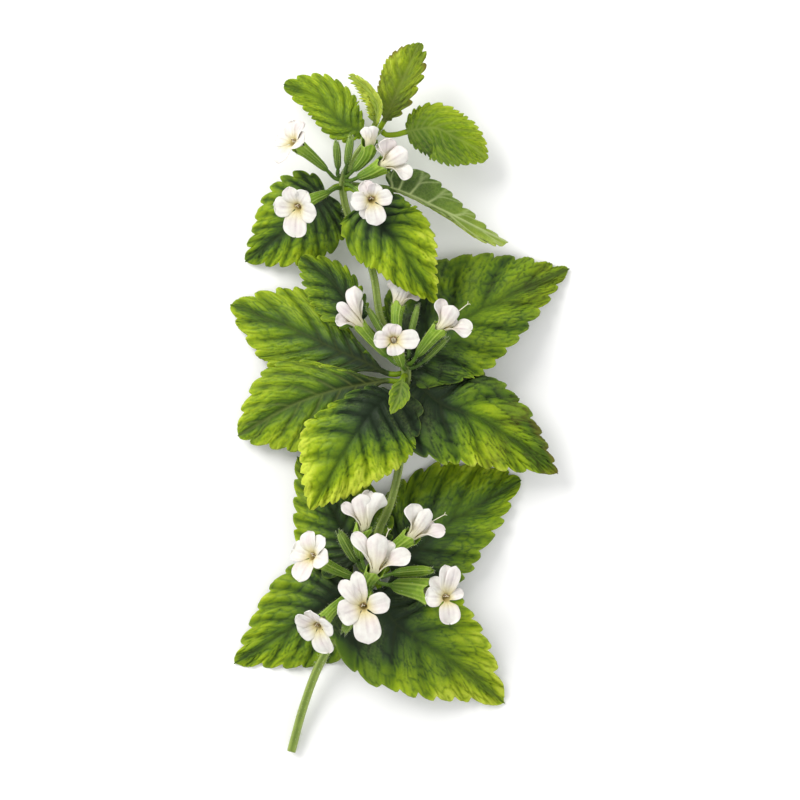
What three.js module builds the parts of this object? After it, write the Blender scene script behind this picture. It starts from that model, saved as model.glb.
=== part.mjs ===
// Cut flowering lemon balm sprig, lying on its side as on a table top.
// Millimetres, +Z up, origin at the bottom centre of the bounding box,
// +Y along the stem towards the shoot tip.
import * as THREE from 'three';

// ---------------------------------------------------------------- dimensions
const STEM_HALF_WIDTH = 1.12;      // half the side of the square stem, lower end
const STEM_TIP_FACTOR = 0.66;      // the stem thins to this share at the shoot tip
const STEM_CORNER = 0.40;          // corner chamfer, share of the half width
const STEM_STEP = 5.2;             // ring spacing along the stem
const LEAF_HALF_THICK = 0.30;      // half the blade thickness
const PETIOLE_HALF_WIDTH = 0.50;   // half the petiole width
const PETIOLE_HALF_THICK = 0.45;   // half the petiole thickness
const TIP_HALF_WIDTH = 0.16;       // half the width of the blunt leaf apex
const LARGE_LEAF_LENGTH = 20;      // blades longer than this get a finer section
const CALYX_SIDES = 10;            // five ribs and five grooves
const PEDICEL_RADIUS = 0.40;
const CALYX_BASE_RADIUS = 0.98;
const CALYX_MID_RADIUS = 1.24;
const CALYX_MOUTH_RADIUS = 1.42;
const CALYX_WALL = 0.28;
const CALYX_TOOTH = 0.55;          // tooth height above and sinus depth below the rim
const CALYX_FLOOR = 1.1;           // floor of the cup above the calyx base
const CALYX_FLOOR_RADIUS = 0.76;
const TUBE_START = 1.55;           // corolla base above the calyx base
const TUBE_BASE_RADIUS = 0.50;
const TUBE_MOUTH_RADIUS = 1.02;
const PETAL_THICK = 0.24;
const LOBES = [                    // centre angle, length share, half width share, lean from the axis, notch
  { at: 0, len: 0.92, half: 0.52, lean: [16, 42, 56], notch: 0.16 },
  { at: 90, len: 0.98, half: 0.40, lean: [24, 54, 74], notch: 0 },
  { at: 180, len: 1.20, half: 0.47, lean: [28, 60, 80], notch: 0.05 },
  { at: 270, len: 0.98, half: 0.40, lean: [24, 54, 74], notch: 0 },
];
const LOBE_ROWS = [0.34, 0.72, 1.0];

// stem axis, lower cut end first
const STEM_AXIS = [
  [-19.815, -64.015, 1.133],
  [-17.761, -56.477, 2.383],
  [-15.036, -48.943, 3.983],
  [-11.315, -42.103, 5.783],
  [-7.618, -36.326, 7.183],
  [-4.939, -32.281, 7.783],
  [-3.936, -23.901, 8.383],
  [-1.933, -19.214, 8.783],
  [-0.266, -12.531, 9.083],
  [0.733, -3.521, 9.483],
  [1.065, 5.149, 9.583],
  [-0.602, 9.817, 9.583],
  [-3.269, 14.154, 9.483],
  [-4.77, 22.499, 9.283],
  [-6.606, 28.18, 9.083],
  [-9.278, 33.202, 8.783],
  [-10.279, 39.211, 8.783],
  [-8.274, 43.523, 9.183],
  [-5.603, 46.829, 9.583],
  [-3.603, 48.814, 9.783],
];

// leaves: points of petiole then midrib (base to apex), upper-face direction at
// base and apex, widths left and right, fold and curl in degrees, edge waviness
const LEAVES = [
  { name: 'leaf_top_upright', shape: 'elliptic',
    petiole: [[-3.403, 49.291, 10.483]],
    midrib: [[-2.805, 50.249, 10.983], [-1.145, 53.872, 11.783], [0.38, 57.239, 12.383], [1.977, 60.797, 11.983], [3.519, 64.243, 10.783]],
    up0: [-0.25, -0.25, 1], up1: [-0.1, 0.1, 1], left: 3.6, right: 3.6, foldLeft: 4, foldRight: 10, curlLeft: -14, curlRight: -10, wave: 0.35, waves: 2.2 },
  { name: 'leaf_top_folded', shape: 'lance',
    petiole: [[-4.801, 48.62, 11.383]],
    midrib: [[-4.201, 49.988, 14.183], [-4.002, 52.436, 14.983], [-5.588, 55.291, 15.583], [-8.894, 58.203, 15.183]],
    up0: [0.2, 0.1, 1], up1: [0.2, 0.1, 1], left: 2.9, right: 2, foldLeft: -10, foldRight: 70, curlLeft: 5, curlRight: 12, wave: 0.3, waves: 3 },
  { name: 'leaf_top_left', shape: 'elliptic',
    petiole: [[-5.471, 48.319, 9.283]],
    midrib: [[-6.773, 48.402, 9.083], [-10.213, 49.894, 8.783], [-14.477, 54.366, 7.283], [-21.103, 57.272, 4.783]],
    up0: [0, -0.1, 1], up1: [-0.25, 0, 1], left: 3.6, right: 4.9, foldLeft: 8, foldRight: 4, curlLeft: -18, curlRight: -22, wave: 0.4, waves: 2 },
  { name: 'leaf_top_round', shape: 'elliptic',
    petiole: [[-2.602, 47.845, 9.383], [-0.601, 47.845, 9.383]],
    midrib: [[1.301, 48.353, 9.283], [6.337, 49.045, 9.383], [10.052, 47.324, 8.783], [13.318, 45.628, 7.783], [15.868, 43.621, 6.383]],
    up0: [0, 0, 1], up1: [0.3, 0.2, 1], left: 4.6, right: 5.7, foldLeft: 8, foldRight: 8, curlLeft: -16, curlRight: -18, wave: 0.35, waves: 2 },
  { name: 'leaf_upper_lance', shape: 'ovate', shapeLeft: 'lance',
    petiole: [[-8.942, 38.864, 8.983], [-5.604, 38.505, 9.383]],
    midrib: [[-1.605, 37.943, 10.383], [2.056, 36.599, 10.583], [6.397, 34.547, 9.783], [10.763, 32.489, 8.383], [14.83, 30.518, 6.383], [19.474, 28.587, 3.983]],
    up0: [0, -0.2, -1], up1: [-0.1, -0.3, -1], left: 1.9, right: 4.7, foldLeft: -20, foldRight: -6, curlLeft: 0, curlRight: 12, wave: 0.3, waves: 2 },
  { name: 'leaf_upper_front', shape: 'ovate',
    petiole: [[-8.933, 38.122, 10.183], [-7.257, 37.001, 12.183]],
    midrib: [[-5.692, 35.822, 13.583], [-3.606, 31.564, 15.783], [-0.144, 27.758, 16.683], [2.963, 22.575, 15.983], [6.697, 17.194, 13.783]],
    up0: [0, 0.35, 1], up1: [0.1, -0.1, 1], left: 7.8, right: 7.4, foldLeft: -6, foldRight: -8, curlLeft: -20, curlRight: -22, wave: 0.5, waves: 2 },
  { name: 'leaf_upper_left', shape: 'ovate',
    petiole: [[-11.453, 38.568, 8.383]],
    midrib: [[-13.296, 37.257, 7.983], [-17.324, 33.624, 7.183], [-22.077, 29.725, 4.783], [-28.274, 25.189, 0.783]],
    up0: [0, 0, 1], up1: [-0.3, -0.2, 1], left: 8.4, right: 7.8, foldLeft: 4, foldRight: 4, curlLeft: -22, curlRight: -22, wave: 0.5, waves: 2 },
  { name: 'leaf_mid_right_up', shape: 'ovate', shapeLeft: 'broad',
    petiole: [[2.266, 6.083, 9.583]],
    midrib: [[3.232, 7.082, 9.683], [6.8, 11.284, 9.583], [12.767, 15.385, 8.383], [20.564, 19.291, 5.383], [30.953, 23.976, 0.683]],
    up0: [-0.15, 0.2, 1], up1: [0.25, 0.15, 1], left: 12.5, right: 10, foldLeft: -14, foldRight: 0, curlLeft: -14, curlRight: -20, wave: 0.7, waves: 2 },
  { name: 'leaf_mid_right_down', shape: 'ovate',
    petiole: [[2.495, 3.878, 9.983]],
    midrib: [[3.726, 2.478, 10.183], [7.483, -0.655, 10.583], [14.291, -3.286, 9.983], [21.03, -7.602, 8.083], [28.64, -13.339, 4.983]],
    up0: [0.2, 0.32, 1], up1: [0.2, -0.1, 1], left: 8.9, right: 9.8, foldLeft: 4, foldRight: 2, curlLeft: -20, curlRight: -16, wave: 0.7, waves: 2 },
  { name: 'leaf_mid_front', shape: 'sloped', shapeLeft: 'ovate',
    petiole: [[0.388, 3.635, 11.183]],
    midrib: [[-1.148, 1.566, 12.383], [-4.731, -1.522, 14.183], [-9.195, -7.905, 14.783], [-12.753, -14.25, 13.383], [-16.213, -19.753, 10.983]],
    up0: [-0.1, 0.2, 1], up1: [-0.1, -0.35, 1], left: 10.5, right: 9.6, foldLeft: -4, foldRight: -4, curlLeft: -18, curlRight: -22, wave: 0.6, waves: 2 },
  { name: 'leaf_mid_bract', shape: 'lance',
    petiole: [[0.712, 4.289, 12.383]],
    midrib: [[0.362, 3.437, 14.983], [-0.142, 0.786, 16.383], [-1.626, -2.513, 16.183]],
    up0: [0, 0.1, 1], up1: [0, -0.1, 1], left: 1.9, right: 1.9, foldLeft: 22, foldRight: 22, curlLeft: 0, curlRight: 0, wave: 0, waves: 1 },
  { name: 'leaf_mid_left_up', shape: 'attenuate',
    petiole: [[-0.868, 4.617, 9.483]],
    midrib: [[-2.268, 4.821, 9.083], [-6.608, 6.998, 8.483], [-11.632, 9.188, 7.383], [-19.389, 12.928, 4.783], [-30.978, 17.414, 0.783]],
    up0: [0, 0, 1], up1: [-0.25, 0.1, 1], left: 8.2, right: 7.6, foldLeft: -2, foldRight: -4, curlLeft: -20, curlRight: -20, wave: 0.6, waves: 2 },
  { name: 'leaf_mid_left_down', shape: 'attenuate',
    petiole: [[-0.868, 3.35, 9.383]],
    midrib: [[-2.268, 3.484, 9.283], [-6.607, 2.821, 8.783], [-11.622, 1.823, 8.183], [-19.361, -0.847, 5.983], [-29.57, -6.575, 2.183]],
    up0: [0, 0, 1], up1: [-0.25, -0.1, 1], left: 8.4, right: 8, foldLeft: 6, foldRight: 6, curlLeft: -20, curlRight: -20, wave: 0.6, waves: 2 },
  { name: 'leaf_mid_shoot_left', shape: 'elliptic',
    petiole: [[-1.502, 7.748, 9.683], [-3.936, 10.806, 10.183]],
    midrib: [[-6.968, 14.204, 10.183], [-9.431, 17.529, 10.383], [-12.303, 21.48, 9.783], [-17.976, 25.858, 7.983]],
    up0: [0, 0, 1], up1: [-0.1, 0.15, 1], left: 5.6, right: 4.7, foldLeft: 6, foldRight: 4, curlLeft: -16, curlRight: -18, wave: 0.4, waves: 2 },
  { name: 'leaf_low_right_up', shape: 'ovate',
    petiole: [[-3.334, -31.516, 6.983]],
    midrib: [[-1.859, -30.169, 6.383], [2.099, -27.873, 5.983], [8.93, -22.278, 4.783], [15.4, -18.562, 2.983], [22.151, -14.626, 0.983]],
    up0: [0, 0, 1], up1: [0.2, 0.15, 1], left: 10.8, right: 9.4, foldLeft: -14, foldRight: 2, curlLeft: -10, curlRight: -18, wave: 0.6, waves: 2 },
  { name: 'leaf_low_right_down', shape: 'ovate',
    petiole: [[-4.103, -33.073, 8.683]],
    midrib: [[-3.536, -34.294, 8.983], [-1.401, -39.51, 9.383], [5.092, -44.319, 7.783], [12.374, -49.608, 4.083], [19.131, -55.429, 0.383]],
    up0: [0, 0.1, 1], up1: [0.2, -0.2, 1], left: 10.8, right: 10.2, foldLeft: 2, foldRight: 2, curlLeft: -16, curlRight: -18, wave: 0.7, waves: 2 },
  { name: 'leaf_low_left_up', shape: 'ovate',
    petiole: [[-6.548, -30.851, 6.883]],
    midrib: [[-7.756, -29.16, 6.483], [-9.976, -24.333, 5.583], [-13.351, -17.993, 4.183], [-18.786, -10.291, 1.783]],
    up0: [0, 0, 1], up1: [-0.15, 0.15, 1], left: 8.8, right: 9, foldLeft: 2, foldRight: 4, curlLeft: -16, curlRight: -16, wave: 0.5, waves: 2 },
  { name: 'leaf_low_left_down', shape: 'ovate',
    petiole: [[-6.752, -33.564, 6.183]],
    midrib: [[-8.132, -34.174, 5.383], [-12.342, -36.823, 4.183], [-19.435, -41.274, 2.883], [-30.318, -48.19, 0.383]],
    up0: [0, 0, 1], up1: [-0.2, -0.15, 1], left: 10, right: 9.6, foldLeft: -10, foldRight: -4, curlLeft: -6, curlRight: -16, wave: 0.6, waves: 2 },
];

// flowers: pedicel start, calyx base, calyx mouth, corolla throat; facing
// direction, upper-lip direction, lobe reach
const FLOWERS = [
  { name: 'upper_1', points: [[-9.262, 38.756, 10.683], [-8.083, 37.959, 12.783], [-6.575, 36.745, 16.383], [-5.053, 35.535, 18.983]],
    face: [0.1, -0.1, 1], up: [-0.25, 1, 0], side: [-0.25, 1, 0], reach: 4.2 },
  { name: 'upper_2', points: [[-9.098, 39.441, 10.383], [-7.523, 39.89, 12.183], [-4.597, 40.996, 14.983], [-2.551, 42.141, 16.583]],
    face: [0.66, 0.34, 0.62], up: [-0.35, 0.9, 0.1], side: [-0.35, 0.9, 0.1], reach: 4.1 },
  { name: 'upper_3', points: [[-9.598, 40.274, 10.383], [-8.324, 41.292, 11.583], [-5.789, 44.213, 14.383], [-5.257, 46.159, 15.783]],
    face: [-0.05, 0.93, 0.36], up: [0.2, 0.3, -0.9], side: [0.2, 0.3, -0.9], reach: 3 },
  { name: 'upper_4', points: [[-11.744, 39.986, 9.183], [-13.094, 41.273, 10.383], [-16.389, 44.14, 12.183], [-19.018, 46.043, 13.383]],
    face: [-0.6, 0.5, 0.6], up: [0.3, 0.7, -0.1], side: [0.3, 0.7, -0.1], reach: 4.4 },
  { name: 'upper_5', points: [[-11.432, 38.122, 10.183], [-12.736, 37.333, 12.183], [-15.842, 35.85, 14.783], [-18.113, 34.413, 16.783]],
    face: [-0.4, -0.3, 0.85], up: [0.2, 1, 0.1], side: [0.2, 1, 0.1], reach: 4.5 },
  { name: 'middle_1', points: [[-0.278, 6.296, 11.183], [-2.275, 7.78, 11.983], [-5.758, 11.563, 13.783], [-7.441, 13.686, 14.983]],
    face: [-0.5, 0.62, 0.6], up: [0.5, 0.7, -0.3], side: [0.5, 0.7, -0.3], reach: 4.9 },
  { name: 'middle_2', points: [[0.721, 7.129, 11.383], [-0.111, 9.455, 12.083], [-0.641, 14.624, 11.683], [-0.306, 17.296, 11.183]],
    face: [0.1, 0.95, 0.22], up: [0.1, 0.2, -0.9], side: [0.1, 0.2, -0.9], reach: 3.9 },
  { name: 'middle_3', points: [[0.714, 5.621, 11.983], [0.367, 6.092, 14.183], [-0.446, 8.42, 17.583], [-1.146, 10.62, 19.583]],
    face: [0.02, 0.02, 1], up: [-0.1, 1, 0], side: [-0.1, 1, 0], reach: 3.9 },
  { name: 'middle_4', points: [[2.049, 6.626, 11.383], [2.969, 7.841, 12.383], [5.76, 11.318, 14.383], [7.46, 13.143, 15.583]],
    face: [0.6, 0.42, 0.64], up: [-0.6, 0.75, 0.1], side: [-0.6, 0.75, 0.1], reach: 4.9 },
  { name: 'lower_1', points: [[-5.936, -30.853, 9.783], [-6.932, -28.478, 10.783], [-7.32, -24.812, 12.783], [-6.387, -22.45, 13.983]],
    face: [0.06, 0.8, 0.52], up: [0.3, 0.5, -0.7], side: [0.3, 0.5, -0.7], reach: 5.1 },
  { name: 'lower_2', points: [[-4.103, -30.502, 10.183], [-3.005, -28.287, 11.383], [0.206, -25.711, 13.583], [2.346, -24.071, 14.983]],
    face: [0.52, 0.5, 0.63], up: [-0.45, 0.8, -0.1], side: [-0.45, 0.8, -0.1], reach: 5.1 },
  { name: 'lower_3', points: [[-5.099, -32.59, 11.783], [-5.425, -32.763, 14.383], [-5.253, -31.487, 17.583], [-4.265, -29.893, 19.383]],
    face: [0.14, 0.7, 0.66], up: [-0.7, 0.75, -0.1], side: [-0.7, 0.75, -0.1], reach: 5.2 },
  { name: 'lower_4', points: [[-5.265, -33.743, 11.983], [-5.424, -34.397, 14.783], [-5.91, -35.571, 18.183], [-6.428, -36.612, 20.183]],
    face: [-0.05, -0.02, 1], up: [-0.42, 0.9, 0], side: [-0.42, 0.9, 0], reach: 5.2 },
  { name: 'lower_5', points: [[-3.437, -32.952, 11.183], [-1.447, -33.215, 12.583], [4.329, -33.99, 14.983], [8.196, -35.283, 16.783]],
    face: [0.22, 0.2, 0.95], up: [0.05, 1, 0.1], side: [0.05, 1, 0.1], reach: 4.9 },
  { name: 'lower_6', points: [[-6.601, -32.167, 10.183], [-8.256, -31.759, 11.783], [-12.872, -29.652, 14.383], [-15.493, -27.94, 15.783]],
    face: [-0.6, 0.35, 0.72], up: [0.2, 0.9, 0.1], side: [0.2, 0.9, 0.1], reach: 4.6 },
  { name: 'lower_7', points: [[-6.598, -33.46, 10.983], [-8.251, -34.377, 12.583], [-12.202, -37.561, 14.983], [-14.493, -40.121, 16.383]],
    face: [-0.5, -0.5, 0.72], up: [-0.4, 0.8, 0.2], side: [-0.4, 0.8, 0.2], reach: 4.5 },
];

// spent calyces: pedicel start, calyx base, calyx mouth
const BUDS = [
  { name: 'upper_1', points: [[-11.205, 40.56, 9.583], [-11.166, 41.527, 10.083], [-11.455, 46.39, 10.983]], side: [0.2, 0.3, 1] },
  { name: 'upper_2', points: [[-9.858, 40.9, 10.983], [-9.58, 42.134, 12.383], [-8.769, 46.976, 14.183]], side: [0.2, 0.3, 1] },
  { name: 'middle_1', points: [[-0.81, 7.992, 11.183], [-2.109, 10.109, 11.783], [-5.76, 16.389, 12.983]], side: [0.2, 0.3, 1] },
  { name: 'middle_2', points: [[1.459, 7.805, 10.783], [1.69, 10.465, 10.883], [3.215, 16.939, 11.183]], side: [0.2, 0.3, 1] },
  { name: 'middle_3', points: [[2.721, 5.969, 10.683], [4.044, 6.792, 11.383], [8.347, 10.928, 12.383]], side: [0.2, 0.3, 1] },
  { name: 'lower_1', points: [[-6.608, -30.373, 8.583], [-7.774, -29.221, 8.983], [-10.932, -23.839, 10.183]], side: [0.2, 0.3, 1] },
  { name: 'lower_2', points: [[-3.27, -31.834, 10.183], [-1.275, -31.222, 11.183], [5.691, -30.569, 12.383]], side: [0.2, 0.3, 1] },
  { name: 'lower_3', points: [[-5.934, -34.645, 10.583], [-6.928, -35.757, 11.583], [-10.078, -41.691, 12.383]], side: [0.2, 0.3, 1] },
];

// leaf outlines: forward position and half width, as shares, from base to apex
const KNOTS = [0, 0.05, 0.12, 0.21, 0.32, 0.44, 0.56, 0.68, 0.79, 0.89, 0.96, 1];
const MIDRIB = [0, 0.010, 0.035, 0.085, 0.17, 0.27, 0.38, 0.50, 0.635, 0.79, 0.91, 1];
const OUTLINES = {
  attenuate: [[0, 0], [0.05, 0.07], [0.12, 0.16], [0.22, 0.34], [0.34, 0.60], [0.47, 0.87], [0.59, 1.0], [0.71, 0.93], [0.82, 0.68], [0.915, 0.37], [0.97, 0.15], [1, 0]],
  ovate: [[0, 0], [-0.035, 0.26], [-0.02, 0.56], [0.06, 0.83], [0.20, 0.985], [0.36, 0.99], [0.52, 0.86], [0.67, 0.64], [0.80, 0.41], [0.905, 0.205], [0.965, 0.08], [1, 0]],
  broad: [[0, 0], [-0.045, 0.24], [-0.06, 0.52], [-0.01, 0.82], [0.12, 0.985], [0.29, 1], [0.47, 0.89], [0.64, 0.68], [0.79, 0.43], [0.9, 0.215], [0.965, 0.08], [1, 0]],
  sloped: [[0, 0], [0.01, 0.10], [0.04, 0.24], [0.10, 0.39], [0.18, 0.53], [0.28, 0.68], [0.40, 0.84], [0.54, 0.92], [0.69, 0.76], [0.83, 0.46], [0.94, 0.19], [1, 0]],
  elliptic: [[0, 0], [-0.005, 0.24], [0.03, 0.50], [0.11, 0.76], [0.25, 0.96], [0.42, 1.0], [0.58, 0.94], [0.72, 0.77], [0.84, 0.55], [0.93, 0.32], [0.98, 0.14], [1, 0]],
  lance: [[0, 0], [0.02, 0.14], [0.065, 0.34], [0.15, 0.60], [0.27, 0.86], [0.41, 1.0], [0.55, 0.95], [0.68, 0.75], [0.80, 0.50], [0.90, 0.26], [0.96, 0.10], [1, 0]],
};
const SECTIONS_LARGE = [0, 0.06, 0.14, 0.24, 0.36, 0.48, 0.60, 0.72, 0.84, 0.94, 1];
const SECTIONS_SMALL = [0, 0.08, 0.20, 0.36, 0.54, 0.72, 0.88, 1];

// ------------------------------------------------------------------- colours
const GREEN_LEAF = 0x5f8f1f, GREEN_DARK = 0x3f6f22, GREEN_CALYX = 0x6f9a3a, GREEN_STEM = 0x6d8f3c, WHITE_PETAL = 0xf4f1ea;

// --------------------------------------------------------------------- tools
const rad = (a) => a * Math.PI / 180;
const vec = (a) => new THREE.Vector3(a[0], a[1], a[2]);

function hermite(xs, ys, x) {
  const n = xs.length, dim = ys[0].length;
  const slope = (i, k) => {
    if (i === 0) return (ys[1][k] - ys[0][k]) / (xs[1] - xs[0]);
    if (i === n - 1) return (ys[n - 1][k] - ys[n - 2][k]) / (xs[n - 1] - xs[n - 2]);
    const h0 = xs[i] - xs[i - 1], h1 = xs[i + 1] - xs[i];
    return ((ys[i][k] - ys[i - 1][k]) / h0 * h1 + (ys[i + 1][k] - ys[i][k]) / h1 * h0) / (h0 + h1);
  };
  let i = 0;
  while (i < n - 2 && x >= xs[i + 1]) i++;
  const h = xs[i + 1] - xs[i], t = (x - xs[i]) / h, t2 = t * t, t3 = t2 * t;
  const out = [];
  for (let k = 0; k < dim; k++) {
    out.push((2 * t3 - 3 * t2 + 1) * ys[i][k] + (t3 - 2 * t2 + t) * h * slope(i, k)
      + (3 * t2 - 2 * t3) * ys[i + 1][k] + (t3 - t2) * h * slope(i + 1, k));
  }
  return out;
}

// smooth curve through points, read by arc length
class Path {
  constructor(points) {
    const d = [0];
    for (let i = 1; i < points.length; i++) {
      d.push(d[i - 1] + Math.sqrt(Math.hypot(...points[i].map((v, k) => v - points[i - 1][k]))));
    }
    const n = 200, last = d[d.length - 1];
    this.p = []; this.s = [0];
    for (let i = 0; i < n; i++) this.p.push(vec(hermite(d, points, last * i / (n - 1))));
    for (let i = 1; i < n; i++) this.s.push(this.s[i - 1] + this.p[i].distanceTo(this.p[i - 1]));
    this.length = this.s[n - 1];
    this.knots = d.map((v) => this.s[Math.min(n - 1, Math.round(v / last * (n - 1)))]);
  }
  at(s) {
    const n = this.p.length;
    if (s <= 0) return this.p[0].clone().addScaledVector(this.p[1].clone().sub(this.p[0]).normalize(), s);
    if (s >= this.length) return this.p[n - 1].clone().addScaledVector(this.p[n - 1].clone().sub(this.p[n - 2]).normalize(), s - this.length);
    let lo = 0, hi = n - 1;
    while (hi - lo > 1) { const m = (lo + hi) >> 1; if (this.s[m] <= s) lo = m; else hi = m; }
    return this.p[lo].clone().lerp(this.p[hi], (s - this.s[lo]) / (this.s[hi] - this.s[lo]));
  }
  tangent(s) {
    const e = this.length * 0.01, c = Math.min(Math.max(s, 0), this.length);
    return this.at(Math.min(c + e, this.length)).sub(this.at(Math.max(c - e, 0))).normalize();
  }
}

class Solid {
  constructor() { this.v = []; this.f = []; }
  add(p) { this.v.push(p.x, p.y, p.z); return this.v.length / 3 - 1; }
  tri(a, b, c) { this.f.push(a, b, c); }
  quad(a, b, c, d) { this.f.push(a, b, c, a, c, d); }
  mesh(name, color, rough) {
    const g = new THREE.BufferGeometry();
    g.setAttribute('position', new THREE.Float32BufferAttribute(this.v, 3));
    g.setIndex(this.f);
    g.computeVertexNormals();
    const m = new THREE.Mesh(g, new THREE.MeshStandardMaterial({ color, roughness: rough, metalness: 0 }));
    m.name = name;
    return m;
  }
}

// -------------------------------------------------------------------- leaves
function leafSolid(d) {
  const s = new Solid();
  const path = new Path([...d.petiole, ...d.midrib]);
  const base = path.knots[d.petiole.length], len = path.length - base;
  const n0 = vec(d.up0).normalize(), n1 = vec(d.up1).normalize();
  const large = len > LARGE_LEAF_LENGTH;
  const across = large ? 3 : 2;
  const sections = large ? SECTIONS_LARGE : SECTIONS_SMALL;
  const outlines = [OUTLINES[d.shape], OUTLINES[d.shapeLeft || d.shape]];

  const place = (x, y, half) => {
    const t = path.tangent(base + x);
    const u = Math.min(Math.max(x / len, 0), 1);
    const n = n0.clone().multiplyScalar(1 - u).addScaledVector(n1, u);
    n.addScaledVector(t, -n.dot(t)).normalize();
    const r = t.clone().cross(n);
    const side = y >= 0 ? 1 : -1, w = side > 0 ? d.right : d.left;
    const a = rad(side > 0 ? d.foldRight : d.foldLeft);
    let k = rad(side > 0 ? d.curlRight : d.curlLeft);
    if (Math.abs(k) < 1e-3) k = 1e-3;
    const q = Math.abs(y), th = a + k * q / w;
    const lat = w / k * (Math.sin(th) - Math.sin(a)), nor = -w / k * (Math.cos(th) - Math.cos(a));
    const wave = d.wave * Math.sin(2 * Math.PI * d.waves * x / len + side * 0.7) * (q / w) ** 2;
    const p = path.at(base + x).addScaledVector(r, side * lat).addScaledVector(n, nor + wave);
    const f = Math.min(q / 0.6, 1);
    const nn = n.clone().multiplyScalar(Math.cos(th * f)).addScaledVector(r, -side * Math.sin(th * f));
    return [p.clone().addScaledVector(nn, half), p.clone().addScaledVector(nn, -half)];
  };

  const rows = [];
  const offs = [];
  for (let j = -across; j <= across; j++) offs.push(j / across);
  const petSteps = Math.max(1, Math.round(base / 4));
  for (let i = 0; i < petSteps; i++) {
    const x = -base + base * i / petSteps;
    rows.push(offs.map((o) => place(x, o * PETIOLE_HALF_WIDTH, PETIOLE_HALF_THICK)));
  }
  for (const u of sections) {
    const edge = outlines.map((o) => hermite(KNOTS, o, u));
    const a = hermite(KNOTS, MIDRIB.map((v) => [v]), u)[0];
    const least = u < 0.5 ? PETIOLE_HALF_WIDTH : TIP_HALF_WIDTH;
    rows.push(offs.map((o) => {
      const q = Math.abs(o);
      const [b, w] = edge[o < 0 ? 1 : 0];
      const x = (a + (b - a) * (0.6 * q + 0.4 * q * q)) * len;
      const y = Math.sign(o) * q * Math.max(w * (o >= 0 ? d.right : d.left), least);
      const half = LEAF_HALF_THICK + (PETIOLE_HALF_THICK - LEAF_HALF_THICK) * Math.max(0, 1 - Math.max(x, 0) / 3) * (1 - q) * (u < 0.3 ? 1 : 0);
      return place(x, y, half);
    }));
  }
  const top = rows.map((r) => r.map((p) => s.add(p[0])));
  const bot = rows.map((r) => r.map((p) => s.add(p[1])));
  const m = offs.length - 1, last = rows.length - 1;
  for (let i = 0; i < last; i++) {
    for (let j = 0; j < m; j++) {
      const flip = j >= across;
      const A = top[i][j], B = top[i][j + 1], C = top[i + 1][j + 1], D = top[i + 1][j];
      const a = bot[i][j], b = bot[i][j + 1], c = bot[i + 1][j + 1], e = bot[i + 1][j];
      if (flip) { s.quad(B, C, D, A); s.quad(b, a, e, c); } else { s.quad(A, B, C, D); s.quad(a, e, c, b); }
    }
    s.quad(top[i][0], top[i + 1][0], bot[i + 1][0], bot[i][0]);
    s.quad(top[i][m], bot[i][m], bot[i + 1][m], top[i + 1][m]);
  }
  for (let j = 0; j < m; j++) {
    s.quad(top[0][j], bot[0][j], bot[0][j + 1], top[0][j + 1]);
    s.quad(top[last][j], top[last][j + 1], bot[last][j + 1], bot[last][j]);
  }
  return s;
}

// ---------------------------------------------------------------------- stem
function frameAlong(path, ref) {
  // carries a side direction along the path without twist
  const n = 120, side = [];
  let r = ref.clone();
  for (let i = 0; i <= n; i++) {
    const t = path.tangent(path.length * i / n);
    r.addScaledVector(t, -r.dot(t)).normalize();
    side.push(r.clone());
  }
  return (s) => {
    const t = path.tangent(s);
    const i = Math.min(n, Math.max(0, Math.round(s / path.length * n)));
    const a = side[i].clone().addScaledVector(t, -side[i].dot(t)).normalize();
    return [t, a, t.clone().cross(a)];
  };
}

function stemSolid() {
  const s = new Solid();
  const path = new Path(STEM_AXIS);
  const frame = frameAlong(path, new THREE.Vector3(1, 0, 0));
  const rings = Math.round(path.length / STEM_STEP);
  const corner = [];
  const k = 1 - STEM_CORNER;
  for (const [a, b] of [[1, -k], [1, k], [k, 1], [-k, 1], [-1, k], [-1, -k], [-k, -1], [k, -1]]) corner.push([a, b]);
  const ids = [];
  for (let i = 0; i <= rings; i++) {
    const q = path.length * i / rings;
    const [, a, b] = frame(q);
    const w = STEM_HALF_WIDTH * (1 - (1 - STEM_TIP_FACTOR) * i / rings);
    const o = path.at(q);
    ids.push(corner.map(([x, y]) => s.add(o.clone().addScaledVector(a, x * w).addScaledVector(b, y * w))));
  }
  const n = corner.length;
  for (let i = 0; i < rings; i++) {
    for (let j = 0; j < n; j++) {
      const k2 = (j + 1) % n;
      s.quad(ids[i][j], ids[i][k2], ids[i + 1][k2], ids[i + 1][j]);
    }
  }
  for (const [r, flip] of [[ids[0], true], [ids[rings], false]]) {
    for (let j = 1; j < n - 1; j++) { if (flip) s.tri(r[0], r[j + 1], r[j]); else s.tri(r[0], r[j], r[j + 1]); }
  }
  return s;
}

// -------------------------------------------------------------------- calyx
function flowerPath(d) { return new Path(d.points); }

function ring(s, path, frame, at, radius, sides, zig = 0, phase = 0) {
  const [t, a, b] = frame(at);
  const o = path.at(at), out = [];
  for (let j = 0; j < sides; j++) {
    const f = 2 * Math.PI * j / sides + phase;
    const z = zig ? (j % 2 ? -zig : zig) : 0;
    out.push(s.add(o.clone().addScaledVector(a, radius * Math.cos(f)).addScaledVector(b, radius * Math.sin(f)).addScaledVector(t, z)));
  }
  return out;
}
function bridge(s, lo, hi, inward = false) {
  const n = lo.length;
  for (let j = 0; j < n; j++) {
    const k = (j + 1) % n;
    if (inward) s.quad(lo[j], hi[j], hi[k], lo[k]); else s.quad(lo[j], lo[k], hi[k], hi[j]);
  }
}
function cap(s, ids, forward) {
  for (let j = 1; j < ids.length - 1; j++) { if (forward) s.tri(ids[0], ids[j], ids[j + 1]); else s.tri(ids[0], ids[j + 1], ids[j]); }
}

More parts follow.
